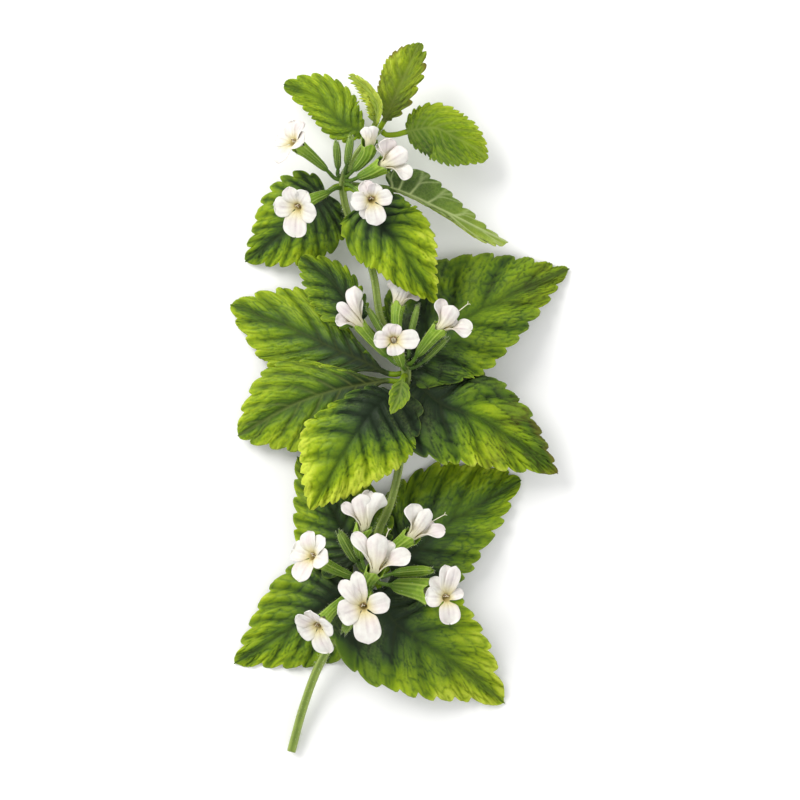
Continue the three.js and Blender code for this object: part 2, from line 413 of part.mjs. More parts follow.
function calyxSolid(d) {
  const s = new Solid();
  const path = flowerPath(d);
  const frame = frameAlong(path, vec(d.side));
  const base = path.knots[1], mouth = path.knots[2], k = CALYX_SIDES, body = mouth - base;
  const r0 = ring(s, path, frame, 0, PEDICEL_RADIUS, k);
  const r1 = ring(s, path, frame, Math.max(base - 0.25, base * 0.6), PEDICEL_RADIUS + 0.04, k);
  const r2 = ring(s, path, frame, base + 0.7, CALYX_BASE_RADIUS, k);
  const r3 = ring(s, path, frame, base + body * 0.55, CALYX_MID_RADIUS, k);
  const r4 = ring(s, path, frame, mouth, CALYX_MOUTH_RADIUS, k, CALYX_TOOTH);
  const i4 = ring(s, path, frame, mouth, CALYX_MOUTH_RADIUS - CALYX_WALL, k, CALYX_TOOTH);
  const i0 = ring(s, path, frame, base + CALYX_FLOOR, CALYX_FLOOR_RADIUS, k);
  bridge(s, r0, r1); bridge(s, r1, r2); bridge(s, r2, r3); bridge(s, r3, r4); bridge(s, r4, i4);
  bridge(s, i0, i4, true);
  cap(s, r0, false); cap(s, i0, true);
  return s;
}

// ------------------------------------------------------------------- corolla
function lobeCurve(lobe, reach) {
  // distance from the axis and rise along it, by share of lobe length
  const n = 40, out = [[0, 0]];
  const lean = (v) => rad(v < 0.35 ? lobe.lean[0] + (lobe.lean[1] - lobe.lean[0]) * v / 0.35 : lobe.lean[1] + (lobe.lean[2] - lobe.lean[1]) * (v - 0.35) / 0.65);
  let spread = 0;
  for (let i = 0; i < n; i++) spread += Math.sin(lean((i + 0.5) / n)) / n;
  const length = (reach * lobe.len - TUBE_MOUTH_RADIUS) / spread;
  for (let i = 0; i < n; i++) {
    const a = lean((i + 0.5) / n);
    out.push([out[i][0] + length / n * Math.sin(a), out[i][1] + length / n * Math.cos(a)]);
  }
  return (v) => {
    const x = Math.min(Math.max(v, 0), 1) * n, i = Math.min(Math.floor(x), n - 1), t = x - i;
    const a = lean(v);
    return [out[i][0] + (out[i + 1][0] - out[i][0]) * t, out[i][1] + (out[i + 1][1] - out[i][1]) * t, a];
  };
}
const LOBE_HALF = [[0, 0], [0.18, 0.42], [0.40, 0.80], [0.62, 1.0], [0.80, 0.93], [0.92, 0.70], [1, 0.40]];

function corollaSolid(d) {
  const s = new Solid();
  const path = flowerPath(d);
  const base = path.knots[1], len = path.length;
  const frame = frameAlong(path, vec(d.up));
  const f = vec(d.face).normalize();
  const u = vec(d.up); u.addScaledVector(f, -u.dot(f)).normalize();
  const r = u.clone().cross(f);
  const o = path.at(len);
  const cols = 12, half = PETAL_THICK / 2;
  // tube rings: mid-wall position, back normal
  const start = base + TUBE_START, steps = 2;
  const back = [], front = [];
  for (let i = 0; i < steps; i++) {
    const q = i / steps, at = start + (len - 0.9 - start) * q;
    const [t] = frame(at);
    const a = u.clone().addScaledVector(t, -u.dot(t)).normalize(), b = a.clone().cross(t);
    const rr = TUBE_BASE_RADIUS + (TUBE_MOUTH_RADIUS - TUBE_BASE_RADIUS) * q * q;
    const c = path.at(at);
    const bk = [], fr = [];
    for (let j = 0; j < cols; j++) {
      const w = 2 * Math.PI * (j - 1.5) / cols;
      const n = a.clone().multiplyScalar(Math.cos(w)).addScaledVector(b, Math.sin(w));
      bk.push(s.add(c.clone().addScaledVector(n, rr + (i ? half : 0))));
      fr.push(s.add(c.clone().addScaledVector(n, rr - (i ? half : PETAL_THICK)).addScaledVector(t, i ? 0 : PETAL_THICK)));
    }
    back.push(bk); front.push(fr);
  }
  // mouth ring, flaring into the lobes
  const bk = [], fr = [];
  for (let j = 0; j < cols; j++) {
    const w = 2 * Math.PI * (j - 1.5) / cols;
    const n = u.clone().multiplyScalar(Math.cos(w)).addScaledVector(r, Math.sin(w));
    const c = o.clone().addScaledVector(n, TUBE_MOUTH_RADIUS);
    const nn = n.clone().multiplyScalar(0.88).addScaledVector(f, -0.47);
    bk.push(s.add(c.clone().addScaledVector(nn, half)));
    fr.push(s.add(c.clone().addScaledVector(nn, -half)));
  }
  back.push(bk); front.push(fr);
  for (let i = 0; i < steps; i++) {
    for (let j = 0; j < cols; j++) {
      const k = (j + 1) % cols;
      s.quad(back[i][j], back[i + 1][j], back[i + 1][k], back[i][k]);
      s.quad(front[i][j], front[i][k], front[i + 1][k], front[i + 1][j]);
    }
  }
  cap(s, back[0], true);
  cap(s, front[0], false);
  // lobes
  LOBES.forEach((lobe, m) => {
    const curve = lobeCurve(lobe, d.reach);
    const c0 = rad(lobe.at);
    const dir = u.clone().multiplyScalar(Math.cos(c0)).addScaledVector(r, Math.sin(c0));
    const lat = dir.clone().cross(f);
    const widest = lobe.half * d.reach, foot = TUBE_MOUTH_RADIUS * Math.sin(Math.PI / 4);
    const point = (c, v) => {
      const [x, z, a] = curve(v);
      const g = hermite(LOBE_HALF.map((q) => q[0]), LOBE_HALF.map((q) => [q[1]]), v)[0];
      const hw = foot + (widest - foot) * g;
      const round = (0.30 * c * c - lobe.notch * 2 * Math.max(0, 0.5 - Math.abs(c))) * v * v;
      const drop = Math.max(0, -round), pull = Math.max(0, round);
      const m0 = TUBE_MOUTH_RADIUS * Math.cos(c * Math.PI / 4);
      const along = m0 * (1 - v) + TUBE_MOUTH_RADIUS * v + x - (pull + 0) * hw * Math.sin(a);
      const cup = 0.10 * hw * (c * c) * Math.min(1, v * 2.5);
      return o.clone().addScaledVector(dir, along).addScaledVector(lat, c * hw)
        .addScaledVector(f, z - pull * hw * Math.cos(a) + cup - drop * 0);
    };
    const normal = (c, v) => {
      const e = 0.02;
      const dc = point(Math.min(c + e, 1), v).sub(point(Math.max(c - e, -1), v));
      const dv = point(c, Math.min(v + e, 1)).sub(point(c, Math.max(v - e, 0.001)));
      return dc.cross(dv).normalize();
    };
    let prevB = [0, 1, 2, 3].map((j) => bk[(3 * m + j) % cols]);
    let prevF = [0, 1, 2, 3].map((j) => fr[(3 * m + j) % cols]);
    for (const v of LOBE_ROWS) {
      const nb = [], nf = [];
      for (let j = 0; j < 4; j++) {
        const c = -1 + 2 * j / 3;
        let v2 = v;
        if (lobe.notch && v === 1 && (j === 1 || j === 2)) v2 = 1;
        const p = point(c, v2), n = normal(c, v2);
        if (n.dot(f) > 0) n.negate();
        nb.push(s.add(p.clone().addScaledVector(n, half)));
        nf.push(s.add(p.clone().addScaledVector(n, -half)));
      }
      for (let j = 0; j < 3; j++) {
        s.quad(prevB[j], nb[j], nb[j + 1], prevB[j + 1]);
        s.quad(prevF[j], prevF[j + 1], nf[j + 1], nf[j]);
      }
      s.quad(prevB[0], prevF[0], nf[0], nb[0]);
      s.quad(prevB[3], nb[3], nf[3], prevF[3]);
      prevB = nb; prevF = nf;
    }
    for (let j = 0; j < 3; j++) s.quad(prevB[j], prevF[j], prevF[j + 1], prevB[j + 1]);
  });
  return s;
}

// ------------------------------------------------------------------ assembly
const sprig = new THREE.Group();
sprig.name = 'lemon_balm_sprig';
sprig.add(stemSolid().mesh('stem', GREEN_STEM, 0.6));
for (const d of LEAVES) sprig.add(leafSolid(d).mesh(d.name, d.dark ? GREEN_DARK : GREEN_LEAF, 0.55));
for (const d of FLOWERS) {
  sprig.add(calyxSolid(d).mesh('calyx_' + d.name, GREEN_CALYX, 0.65));
  sprig.add(corollaSolid(d).mesh('corolla_' + d.name, WHITE_PETAL, 0.6));
}
for (const d of BUDS) sprig.add(calyxSolid(d).mesh('spent_calyx_' + d.name, GREEN_CALYX, 0.65));

export default sprig;
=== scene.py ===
import bpy
import math
import numpy as np
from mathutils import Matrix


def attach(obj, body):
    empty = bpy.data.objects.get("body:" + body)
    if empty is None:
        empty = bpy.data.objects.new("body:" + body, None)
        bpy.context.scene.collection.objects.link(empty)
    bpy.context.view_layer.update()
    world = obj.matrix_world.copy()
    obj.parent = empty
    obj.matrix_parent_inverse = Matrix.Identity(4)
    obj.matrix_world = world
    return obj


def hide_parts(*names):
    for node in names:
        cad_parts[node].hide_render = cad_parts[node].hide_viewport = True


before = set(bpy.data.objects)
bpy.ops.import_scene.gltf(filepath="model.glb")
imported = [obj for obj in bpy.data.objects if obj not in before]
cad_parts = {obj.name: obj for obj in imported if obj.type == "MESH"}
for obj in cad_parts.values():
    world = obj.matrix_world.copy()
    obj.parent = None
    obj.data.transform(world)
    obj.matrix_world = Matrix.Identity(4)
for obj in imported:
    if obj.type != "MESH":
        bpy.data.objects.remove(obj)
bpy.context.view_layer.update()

MM = 0.001

# --------------------------------------------------------------------- tables
# stem axis, cut end first
STEM = [
    (-19.815, -64.015, 1.133),
    (-17.761, -56.477, 2.383),
    (-15.036, -48.943, 3.983),
    (-11.315, -42.103, 5.783),
    (-7.618, -36.326, 7.183),
    (-4.939, -32.281, 7.783),
    (-3.936, -23.901, 8.383),
    (-1.933, -19.214, 8.783),
    (-0.266, -12.531, 9.083),
    (0.733, -3.521, 9.483),
    (1.065, 5.149, 9.583),
    (-0.602, 9.817, 9.583),
    (-3.269, 14.154, 9.483),
    (-4.77, 22.499, 9.283),
    (-6.606, 28.18, 9.083),
    (-9.278, 33.202, 8.783),
    (-10.279, 39.211, 8.783),
    (-8.274, 43.523, 9.183),
    (-5.603, 46.829, 9.583),
    (-3.603, 48.814, 9.783),
]
# leaves: petiole points, midrib points, upper-face direction at base and apex,
# half widths, fold and curl, and how each blade is coloured
LEAVES = [
    dict(name='leaf_top_upright', shape='even', shapeL='obovate', pet=[(-3.403, 49.291, 10.483)],
         mid=[(-2.805, 50.249, 10.983), (-1.145, 53.872, 11.783), (0.38, 57.239, 12.383), (1.977, 60.797, 11.983), (3.519, 64.243, 10.783)],
         n0=(-0.25, -0.25, 1), n1=(-0.1, 0.1, 1), wl=4.2, wr=3.1, fl=4, fr=10, cl=-14, cr=-10, wave=0.35, wf=2.2,
         tone=(0.58, 0.08, 0.06, -0.08), veins=8, pitch=(1.3, 2.7), tooth=(0.35, 1.1), brown=1, veinlight=0.3, pleat_shade=0.2, mott=0.75, lines=0.9, olive=0.18, quilt=2.2, crumple=1.6),
    dict(name='leaf_top_folded', shape='even', shapeL='lance', pet=[(-4.801, 48.62, 11.383)],
         mid=[(-4.201, 49.988, 14.183), (-4.002, 52.436, 14.983), (-5.588, 55.291, 15.583), (-8.894, 58.203, 15.183)],
         n0=(0.2, 0.1, 1), n1=(0.2, 0.1, 1), wl=1.55, wr=1.3, fl=-10, fr=70, cl=5, cr=12, wave=0.3, wf=3,
         tone=(0.96, 0.12, 0.05, 0.22), veins=9, pitch=(0.85, 1.2), tooth=(1.9, 0.3), veinlight=0.8, pleat_shade=0.95, mott=0.9, relief=1.3, crumple=1.8, lines=1.5, ext=1.2),
    dict(name='leaf_top_left', shape='elliptic', pet=[(-5.471, 48.319, 9.283)],
         mid=[(-6.773, 48.402, 9.083), (-10.213, 49.894, 8.783), (-14.477, 54.366, 7.283), (-21.103, 57.272, 4.783)],
         n0=(0, -0.1, 1), n1=(-0.25, 0, 1), wl=3.6, wr=4.9, fl=8, fr=4, cl=-18, cr=-22, wave=0.4, wf=2,
         tone=(0.62, -0.12, 0.1, 0), veins=7, pitch=(1.9, 1.9), tooth=(0.6, 0.6), pleat_shade=0.26, relief=0.9, basal=0.06, lines=0.8, crumple=1.5, mott=0.6),
    dict(name='leaf_top_round', shape='elliptic', pet=[(-2.602, 47.845, 9.383), (-0.601, 47.845, 9.383)],
         mid=[(1.301, 48.353, 9.283), (6.337, 49.045, 9.383), (10.052, 47.324, 8.783), (13.318, 45.628, 7.783), (15.868, 43.621, 6.383)],
         n0=(0, 0, 1), n1=(0.3, 0.2, 1), wl=4.6, wr=5.7, fl=8, fr=8, cl=-16, cr=-18, wave=0.35, wf=2,
         tone=(0.6, 0.04, 0.06, -0.24), veins=10, pitch=(1.35, 1.35), tooth=(0.55, 0.55), veinlight=0.38, pleat_shade=0.12, relief=0.8, mott=0.6, lines=0.5, quilt=2.4, crumple=1.8),
    dict(name='leaf_upper_lance', shape='lance_near', shapeL='lance_far', pet=[(-8.942, 38.864, 8.983), (-5.604, 38.505, 9.383)],
         mid=[(-1.605, 37.943, 10.383), (2.056, 36.599, 10.583), (6.397, 34.547, 9.783), (10.763, 32.489, 8.383), (14.83, 30.518, 6.383), (19.474, 28.587, 3.983)],
         n0=(0, -0.2, -1), n1=(-0.1, -0.3, -1), wl=2.1, wr=5.2, fl=-20, fr=-6, cl=0, cr=12, wave=0.3, wf=2,
         tone=(0.24, 0.7, 0.1, -0.25), veins=6, pitch=(2.4, 2.6), tooth=(0.45, 0.6), relief=0.6, veinlight=0.9, net=0.1, pleat_shade=0.1, mott=0.3, basal=0.15),
    dict(name='leaf_upper_front', shape='ovate', pet=[(-8.933, 38.122, 10.183), (-7.257, 37.001, 12.183)],
         mid=[(-5.692, 35.822, 13.583), (-3.606, 31.564, 15.783), (-0.144, 27.758, 16.683), (2.963, 22.575, 15.983), (6.697, 17.194, 13.783)],
         n0=(0, 0.35, 1), n1=(0.1, -0.1, 1), wl=7.8, wr=7.4, fl=-6, fr=-8, cl=-20, cr=-22, wave=0.5, wf=2,
         tone=(0.35, 0.36, 0.16, 0), veins=8, pitch=(1.9, 1.8), tooth=(0.6, 0.55), relief=1.35, pleat_shade=0.38, veinlight=0, basal=0.36),
    dict(name='leaf_upper_left', shape='ovate', pet=[(-11.453, 38.568, 8.383)],
         mid=[(-13.296, 37.257, 7.983), (-17.324, 33.624, 7.183), (-22.077, 29.725, 4.783), (-28.274, 25.189, 0.783)],
         n0=(0, 0, 1), n1=(-0.3, -0.2, 1), wl=8.4, wr=7.8, fl=4, fr=4, cl=-22, cr=-22, wave=0.5, wf=2,
         tone=(0.3, 0.15, 0.2, 0)),
    dict(name='leaf_mid_right_up', shape='ovate', shapeL='broad', pet=[(2.266, 6.083, 9.583)],
         mid=[(3.232, 7.082, 9.683), (6.8, 11.284, 9.583), (12.767, 15.385, 8.383), (20.564, 19.291, 5.383), (30.953, 23.976, 0.683)],
         n0=(-0.15, 0.2, 1), n1=(0.25, 0.15, 1), wl=14.37, wr=10, fl=-14, fr=0, cl=-14, cr=-20, wave=0.7, wf=2,
         tone=(0.26, 0.12, 0.18, 0.1), veins=7, pitch=(3.8, 3.3), tooth=(1, 0.9), pleat_shade=0.2, relief=1.05, wedge=1, bare=0.26, browntip=0.2, ext=2.6, basal=0.4, basr=0.24, net=0.08, mott=0.65, quilt=2),
    dict(name='leaf_mid_right_down', shape='broad', shapeL='tucked', pet=[(2.495, 3.878, 9.983)],
         mid=[(3.726, 2.478, 10.183), (7.483, -0.655, 10.583), (14.291, -3.286, 9.983), (21.03, -7.602, 8.083), (28.64, -13.339, 4.983)],
         n0=(0.2, 0.32, 1), n1=(0.2, -0.1, 1), wl=8.9, wr=9.8, fl=4, fr=2, cl=-20, cr=-16, wave=0.7, wf=2,
         tone=(0.42, 0.12, 0.1, 0.1), half=(-1, -0.24, 0.14), veins=7, basal=1, pitch=(3.1, 4), tooth=(0.85, 0.85), pleat_shade=0.32, lines=0.85, brown=0.7, brownside=-1, browntip=0.8, basr=0.27, ext=2.2, basy=0.06, mott=0.5, relief=1.15, quilt=3, cellmm=2.3, net=0.24, crumple=1),
    dict(name='leaf_mid_front', shape='sloped', shapeL='ovate', pet=[(0.388, 3.635, 11.183)],
         mid=[(-1.148, 1.566, 12.383), (-4.731, -1.522, 14.183), (-9.195, -7.905, 14.783), (-12.753, -14.25, 13.383), (-16.213, -19.753, 10.983)],
         n0=(-0.1, 0.2, 1), n1=(-0.1, -0.35, 1), wl=10.5, wr=9.6, fl=-4, fr=-4, cl=-18, cr=-22, wave=0.6, wf=2,
         tone=(0.09, 0.8, 0.34, 0), veins=8, pitch=(2.5, 2.5), tooth=(0.75, 0.75), pleat_shade=0.3, relief=1.15, veinlight=0, basal=0.55),
    dict(name='leaf_mid_bract', shape='lance', pet=[(0.712, 4.289, 12.383)],
         mid=[(0.362, 3.437, 14.983), (-0.142, 0.786, 16.383), (-1.626, -2.513, 16.183)],
         n0=(0, 0.1, 1), n1=(0, -0.1, 1), wl=1.9, wr=1.9, fl=22, fr=22, cl=0, cr=0, wave=0, wf=1,
         tone=(0.44, 0.02, 0.2, 0), veins=5, pitch=(1.3, 1.3), tooth=(0.25, 0.25), veinlight=0.4, basal=0, relief=0.5, pleat_shade=0.1, lines=0.5),
    dict(name='leaf_mid_left_up', shape='attenuate', pet=[(-0.868, 4.617, 9.483)],
         mid=[(-2.268, 4.821, 9.083), (-6.608, 6.998, 8.483), (-11.632, 9.188, 7.383), (-19.389, 12.928, 4.783), (-30.978, 17.414, 0.783)],
         n0=(0, 0, 1), n1=(-0.25, 0.1, 1), wl=8.2, wr=7.6, fl=-2, fr=-4, cl=-20, cr=-20, wave=0.6, wf=2,
         tone=(0.32, 0.18, 0.2, 0), pitch=(3, 3), veinlight=0.12),
    dict(name='leaf_mid_left_down', shape='attenuate', pet=[(-0.868, 3.35, 9.383)],
         mid=[(-2.268, 3.484, 9.283), (-6.607, 2.821, 8.783), (-11.622, 1.823, 8.183), (-19.361, -0.847, 5.983), (-29.57, -6.575, 2.183)],
         n0=(0, 0, 1), n1=(-0.25, -0.1, 1), wl=8.4, wr=8, fl=6, fr=6, cl=-20, cr=-20, wave=0.6, wf=2,
         tone=(0.34, 0.18, 0.2, 0), pitch=(3, 3), veinlight=0.3),
    dict(name='leaf_mid_shoot_left', shape='elliptic', pet=[(-1.502, 7.748, 9.683), (-3.936, 10.806, 10.183)],
         mid=[(-6.968, 14.204, 10.183), (-9.431, 17.529, 10.383), (-12.303, 21.48, 9.783), (-17.976, 25.858, 7.983)],
         n0=(0, 0, 1), n1=(-0.1, 0.15, 1), wl=5.6, wr=3.7, fl=6, fr=4, cl=-16, cr=-18, wave=0.4, wf=2,
         tone=(0.28, 0.15, 0.22, 0), pitch=(2.2, 2.2), tooth=(0.7, 0.7)),
    dict(name='leaf_low_right_up', shape='ovate', shapeL='elliptic', pet=[(-3.334, -31.516, 6.983)],
         mid=[(-1.859, -30.169, 6.383), (2.099, -27.873, 5.983), (8.93, -22.278, 4.783), (15.4, -18.562, 2.983), (22.151, -14.626, 0.983)],
         n0=(0, 0, 1), n1=(0.2, 0.15, 1), wl=11.6, wr=9.4, fl=-14, fr=2, cl=-10, cr=-18, wave=0.6, wf=2,
         tone=(0.23, 0.15, 0.25, 0), veins=7, pitch=(3.6, 3.6), tooth=(1.1, 1.1), pleat_shade=0.16, relief=0.9, basal=0.25, net=0.06),
    dict(name='leaf_low_right_down', shape='broad_base', shapeL='ovate', pet=[(-4.103, -33.073, 8.683)],
         mid=[(-3.536, -34.294, 8.983), (-1.401, -39.51, 9.383), (5.092, -44.319, 7.783), (12.374, -49.608, 4.083), (19.131, -55.429, 0.383)],
         n0=(0, 0.1, 1), n1=(0.2, -0.2, 1), wl=10.8, wr=10.8, fl=2, fr=2, cl=-16, cr=-18, wave=0.7, wf=2,
         lobe=0.6, bare=0.05, tone=(0.37, 0.2, 0.3, 0), veins=7, pitch=(3.8, 3.8), tooth=(1.1, 1.1), pleat_shade=0.22, relief=0.9, basal=0.46, basr=0.44, browntip=0.2, cellmm=2, net=0.08, quilt=2.2, crumple=1, lines=0.62),
    dict(name='leaf_low_left_up', shape='ovate', pet=[(-6.548, -30.851, 6.883)],
         mid=[(-7.756, -29.16, 6.483), (-9.976, -24.333, 5.583), (-13.351, -17.993, 4.183), (-18.786, -10.291, 1.783)],
         n0=(0, 0, 1), n1=(-0.15, 0.15, 1), wl=8.8, wr=9, fl=2, fr=4, cl=-16, cr=-16, wave=0.5, wf=2,
         tone=(0.2, 0.26, 0.22, 0)),
    dict(name='leaf_low_left_down', shape='ovate', pet=[(-6.752, -33.564, 6.183)],
         mid=[(-8.132, -34.174, 5.383), (-12.342, -36.823, 4.183), (-19.435, -41.274, 2.883), (-30.318, -48.19, 0.383)],
         n0=(0, 0, 1), n1=(-0.2, -0.15, 1), wl=10, wr=9.6, fl=-10, fr=-4, cl=-6, cr=-16, wave=0.6, wf=2,
         tone=(0.2, 0.26, 0.22, 0)),
]
# flowers: pedicel start, calyx base, calyx mouth, throat; facing, upper lip,
# reach, and for the open ones each lobe's tip, half width and turn
FLOWERS = [
    dict(name='upper_1', pts=[(-9.262, 38.756, 10.683), (-8.083, 37.959, 12.783), (-6.575, 36.745, 16.383), (-5.053, 35.535, 18.983)],
         f=(0.1, -0.1, 1), up=(-0.25, 1, 0), R=4.2,
         lobes=[(-6.495, 38.795, 19.883, 1.45, 0, 0, 1), (-4.297, 38.421, 20.083, 1.4, 0, 0, 1), (-1.312, 36.203, 19.883, 1.45, 0, 0, 1), (-3.936, 30.904, 19.583, 1.85, 0, 1, 1), (-6.564, 32.173, 19.183, 1.2, 0, 0, 1), (-8.794, 35.171, 19.583, 1.7, 0, 0, 1)]),
    dict(name='upper_2', pts=[(-9.098, 39.441, 10.383), (-7.523, 39.89, 12.183), (-4.597, 40.996, 14.983), (-2.551, 42.141, 16.583)],
         f=(0.66, 0.34, 0.62), up=(-0.35, 0.9, 0.1), R=4.1,
         lobes=[(-2.423, 46.57, 18.183, 1.75, 0.7, 0, 1), (1.324, 44.303, 18.583, 1.7, 0.7, 0, 1), (2.057, 39.668, 17.583, 1.55, 0.7, 1, 1), (-0.298, 42.465, 14.783, 1.3, 0.2, 0, 0), (-4.267, 45.396, 15.383, 1.2, 0.4, 0, 0)], side=1),
    dict(name='upper_3', pts=[(-9.598, 40.274, 10.383), (-8.324, 41.292, 11.583), (-5.789, 44.213, 14.383), (-5.257, 46.159, 15.783)],
         f=(-0.05, 0.93, 0.36), up=(0.2, 0.3, -0.9), R=3,
         lobes=[(-6.376, 48.63, 16.683, 1.1, 0.6, 0, 1), (-4.727, 48.853, 16.783, 1.1, 0.6, 0, 1), (-5.59, 48.575, 14.883, 0.9, 0.3, 0, 0)], side=1),
    dict(name='upper_4', pts=[(-11.744, 39.986, 9.183), (-13.094, 41.273, 10.383), (-16.389, 44.14, 12.183), (-19.018, 46.043, 13.383)],
         f=(-0.6, 0.5, 0.6), up=(0.3, 0.7, -0.1), R=4.4),
    dict(name='upper_5', pts=[(-11.432, 38.122, 10.183), (-12.736, 37.333, 12.183), (-15.842, 35.85, 14.783), (-18.113, 34.413, 16.783)],
         f=(-0.4, -0.3, 0.85), up=(0.2, 1, 0.1), R=4.5),
    dict(name='middle_1', pts=[(-0.278, 6.296, 11.183), (-2.275, 7.78, 11.983), (-5.758, 11.563, 13.783), (-7.441, 13.686, 14.983)],
         f=(-0.5, 0.62, 0.6), up=(0.5, 0.7, -0.3), R=4.9,
         lobes=[(-8.097, 20.37, 15.783, 1.6, 0.8, 0, 1), (-11.187, 17.263, 16.983, 1.05, 0.8, 0, 1), (-11.529, 14.19, 15.983, 1.35, 0.7, 1, 1), (-9.573, 15.72, 13.183, 1.2, 0.2, 0, 0), (-7.249, 18.022, 13.783, 1.2, 0.3, 0, 0)], side=1, cal=0.74),
    dict(name='middle_2', pts=[(0.721, 7.129, 11.383), (-0.111, 9.455, 12.083), (-0.641, 14.624, 11.683), (-0.306, 17.296, 11.183)],
         f=(0.1, 0.95, 0.22), up=(0.1, 0.2, -0.9), R=3.9,
         lobes=[(-1.412, 21.599, 11.983, 1.35, 0.7, 0, 1), (0.976, 20.217, 12.583, 1.2, 0.7, 0, 1), (3.974, 18.785, 11.683, 1.35, 0.7, 1, 1), (1.4, 20.161, 9.383, 1.3, 0.2, 0, 0)], side=1, cal=0.78),
    dict(name='middle_3', pts=[(0.714, 5.621, 11.983), (0.367, 6.092, 14.183), (-0.446, 8.42, 17.583), (-1.146, 10.62, 19.583)],
         f=(0.02, 0.02, 1), up=(-0.1, 1, 0), R=3.9,
         lobes=[(3.472, 10.8, 20.383, 1.75, 0, 0, 1), (-0.59, 7.856, 19.983, 1.6, 0, 1, 1), (-4.658, 10.737, 20.283, 1.55, 0, 0, 1), (-2.298, 13.484, 20.583, 1.3, 0, 0, 1), (-0.594, 13.416, 20.683, 1.1, 0, 0, 1)]),
    dict(name='middle_4', pts=[(2.049, 6.626, 11.383), (2.969, 7.841, 12.383), (5.76, 11.318, 14.383), (7.46, 13.143, 15.583)],
         f=(0.6, 0.42, 0.64), up=(-0.6, 0.75, 0.1), R=4.9,
         lobes=[(7.013, 18.033, 16.583, 1.3, 0.8, 0, 1), (9.432, 16.849, 17.583, 1.65, 0.8, 0, 1), (12.751, 12.328, 16.583, 1.75, 0.8, 1, 1), (9.314, 14.709, 13.783, 1.4, 0.2, 0, 0), (7.65, 16.354, 14.183, 1.3, 0.3, 0, 0)], side=1, cal=0.92,
         style=(12.006, 17.053, 17.383)),
    dict(name='lower_1', pts=[(-5.936, -30.853, 9.783), (-6.932, -28.478, 10.783), (-7.32, -24.812, 12.783), (-6.387, -22.45, 13.983)],
         f=(0.06, 0.8, 0.52), up=(0.3, 0.5, -0.7), R=5.1,
         lobes=[(-10.483, -18.649, 14.983, 1.1, 0.8, 0, 1), (-7.237, -16.774, 15.983, 1.75, 0.8, 0, 1), (-5.461, -16.309, 13.183, 1.3, 0.6, 0, 0), (-2.945, -16.783, 15.583, 1.8, 0.8, 0, 1), (-4.934, -17.481, 11.383, 1.6, 0.2, 1, 0)], side=1),
    dict(name='lower_2', pts=[(-4.103, -30.502, 10.183), (-3.005, -28.287, 11.383), (0.206, -25.711, 13.583), (2.346, -24.071, 14.983)],
         f=(0.52, 0.5, 0.63), up=(-0.45, 0.8, -0.1), R=5.1,
         lobes=[(2.103, -18.485, 16.183, 1.75, 0.8, 0, 1), (5.163, -19.327, 16.783, 1.3, 0.7, 0, 1), (8.076, -23.27, 16.183, 1.35, 0.8, 1, 1), (4.024, -20.095, 12.983, 1.4, 0.2, 0, 0), (6.014, -22.416, 12.983, 1.4, 0.2, 0, 0)], side=1,
         style=(7.874, -20.459, 16.383)),
    dict(name='lower_3', pts=[(-5.099, -32.59, 11.783), (-5.425, -32.763, 14.383), (-5.253, -31.487, 17.583), (-4.265, -29.893, 19.383)],
         f=(0.14, 0.7, 0.66), up=(-0.7, 0.75, -0.1), R=5.2,
         lobes=[(-8.426, -23.547, 20.583, 1.4, 0.7, 0, 1), (-4.002, -23.513, 21.583, 1.9, 0.8, 0, 1), (1.963, -27.349, 20.583, 1.75, 0.7, 1, 1), (-1.631, -25.231, 17.583, 1.4, 0.2, 0, 0), (-6.241, -26.219, 17.583, 1.4, 0.2, 0, 0)], side=1,
         style=(-2.037, -23.075, 20.983)),
    dict(name='lower_4', pts=[(-5.265, -33.743, 11.983), (-5.424, -34.397, 14.783), (-5.91, -35.571, 18.183), (-6.428, -36.612, 20.183)],
         f=(-0.05, -0.02, 1), up=(-0.42, 0.9, 0), R=5.2,
         lobes=[(-10.552, -31.983, 20.983, 1.45, 0, 0, 1), (-7.796, -30.248, 21.683, 1.4, 0, 0, 1), (-1.71, -35.378, 21.183, 1.9, 0, 0, 1), (-5.312, -43.19, 20.883, 2.45, 0, 1, 1), (-11.01, -38.075, 20.983, 2.35, 0, 0, 1)]),
    dict(name='lower_5', pts=[(-3.437, -32.952, 11.183), (-1.447, -33.215, 12.583), (4.329, -33.99, 14.983), (8.196, -35.283, 16.783)],
         f=(0.22, 0.2, 0.95), up=(0.05, 1, 0.1), R=4.9,
         lobes=[(8.044, -29.301, 17.883, 1.35, 0.2, 0, 1), (9.884, -29.494, 17.983, 1.3, 0.2, 0, 1), (11.356, -34.152, 16.983, 1, 0, 0, 1), (8.844, -39.929, 17.383, 1.95, 0, 1, 1), (4.429, -34.983, 17.483, 1.9, 0, 0, 1), (5.497, -31.671, 16.483, 1.3, 0, 0, 1)], cal=1.8, back=2.1),
    dict(name='lower_6', pts=[(-6.601, -32.167, 10.183), (-8.256, -31.759, 11.783), (-12.872, -29.652, 14.383), (-15.493, -27.94, 15.783)],
         f=(-0.6, 0.35, 0.72), up=(0.2, 0.9, 0.1), R=4.6),
    dict(name='lower_7', pts=[(-6.598, -33.46, 10.983), (-8.251, -34.377, 12.583), (-12.202, -37.561, 14.983), (-14.493, -40.121, 16.383)],
         f=(-0.5, -0.5, 0.72), up=(-0.4, 0.8, 0.2), R=4.5),
]
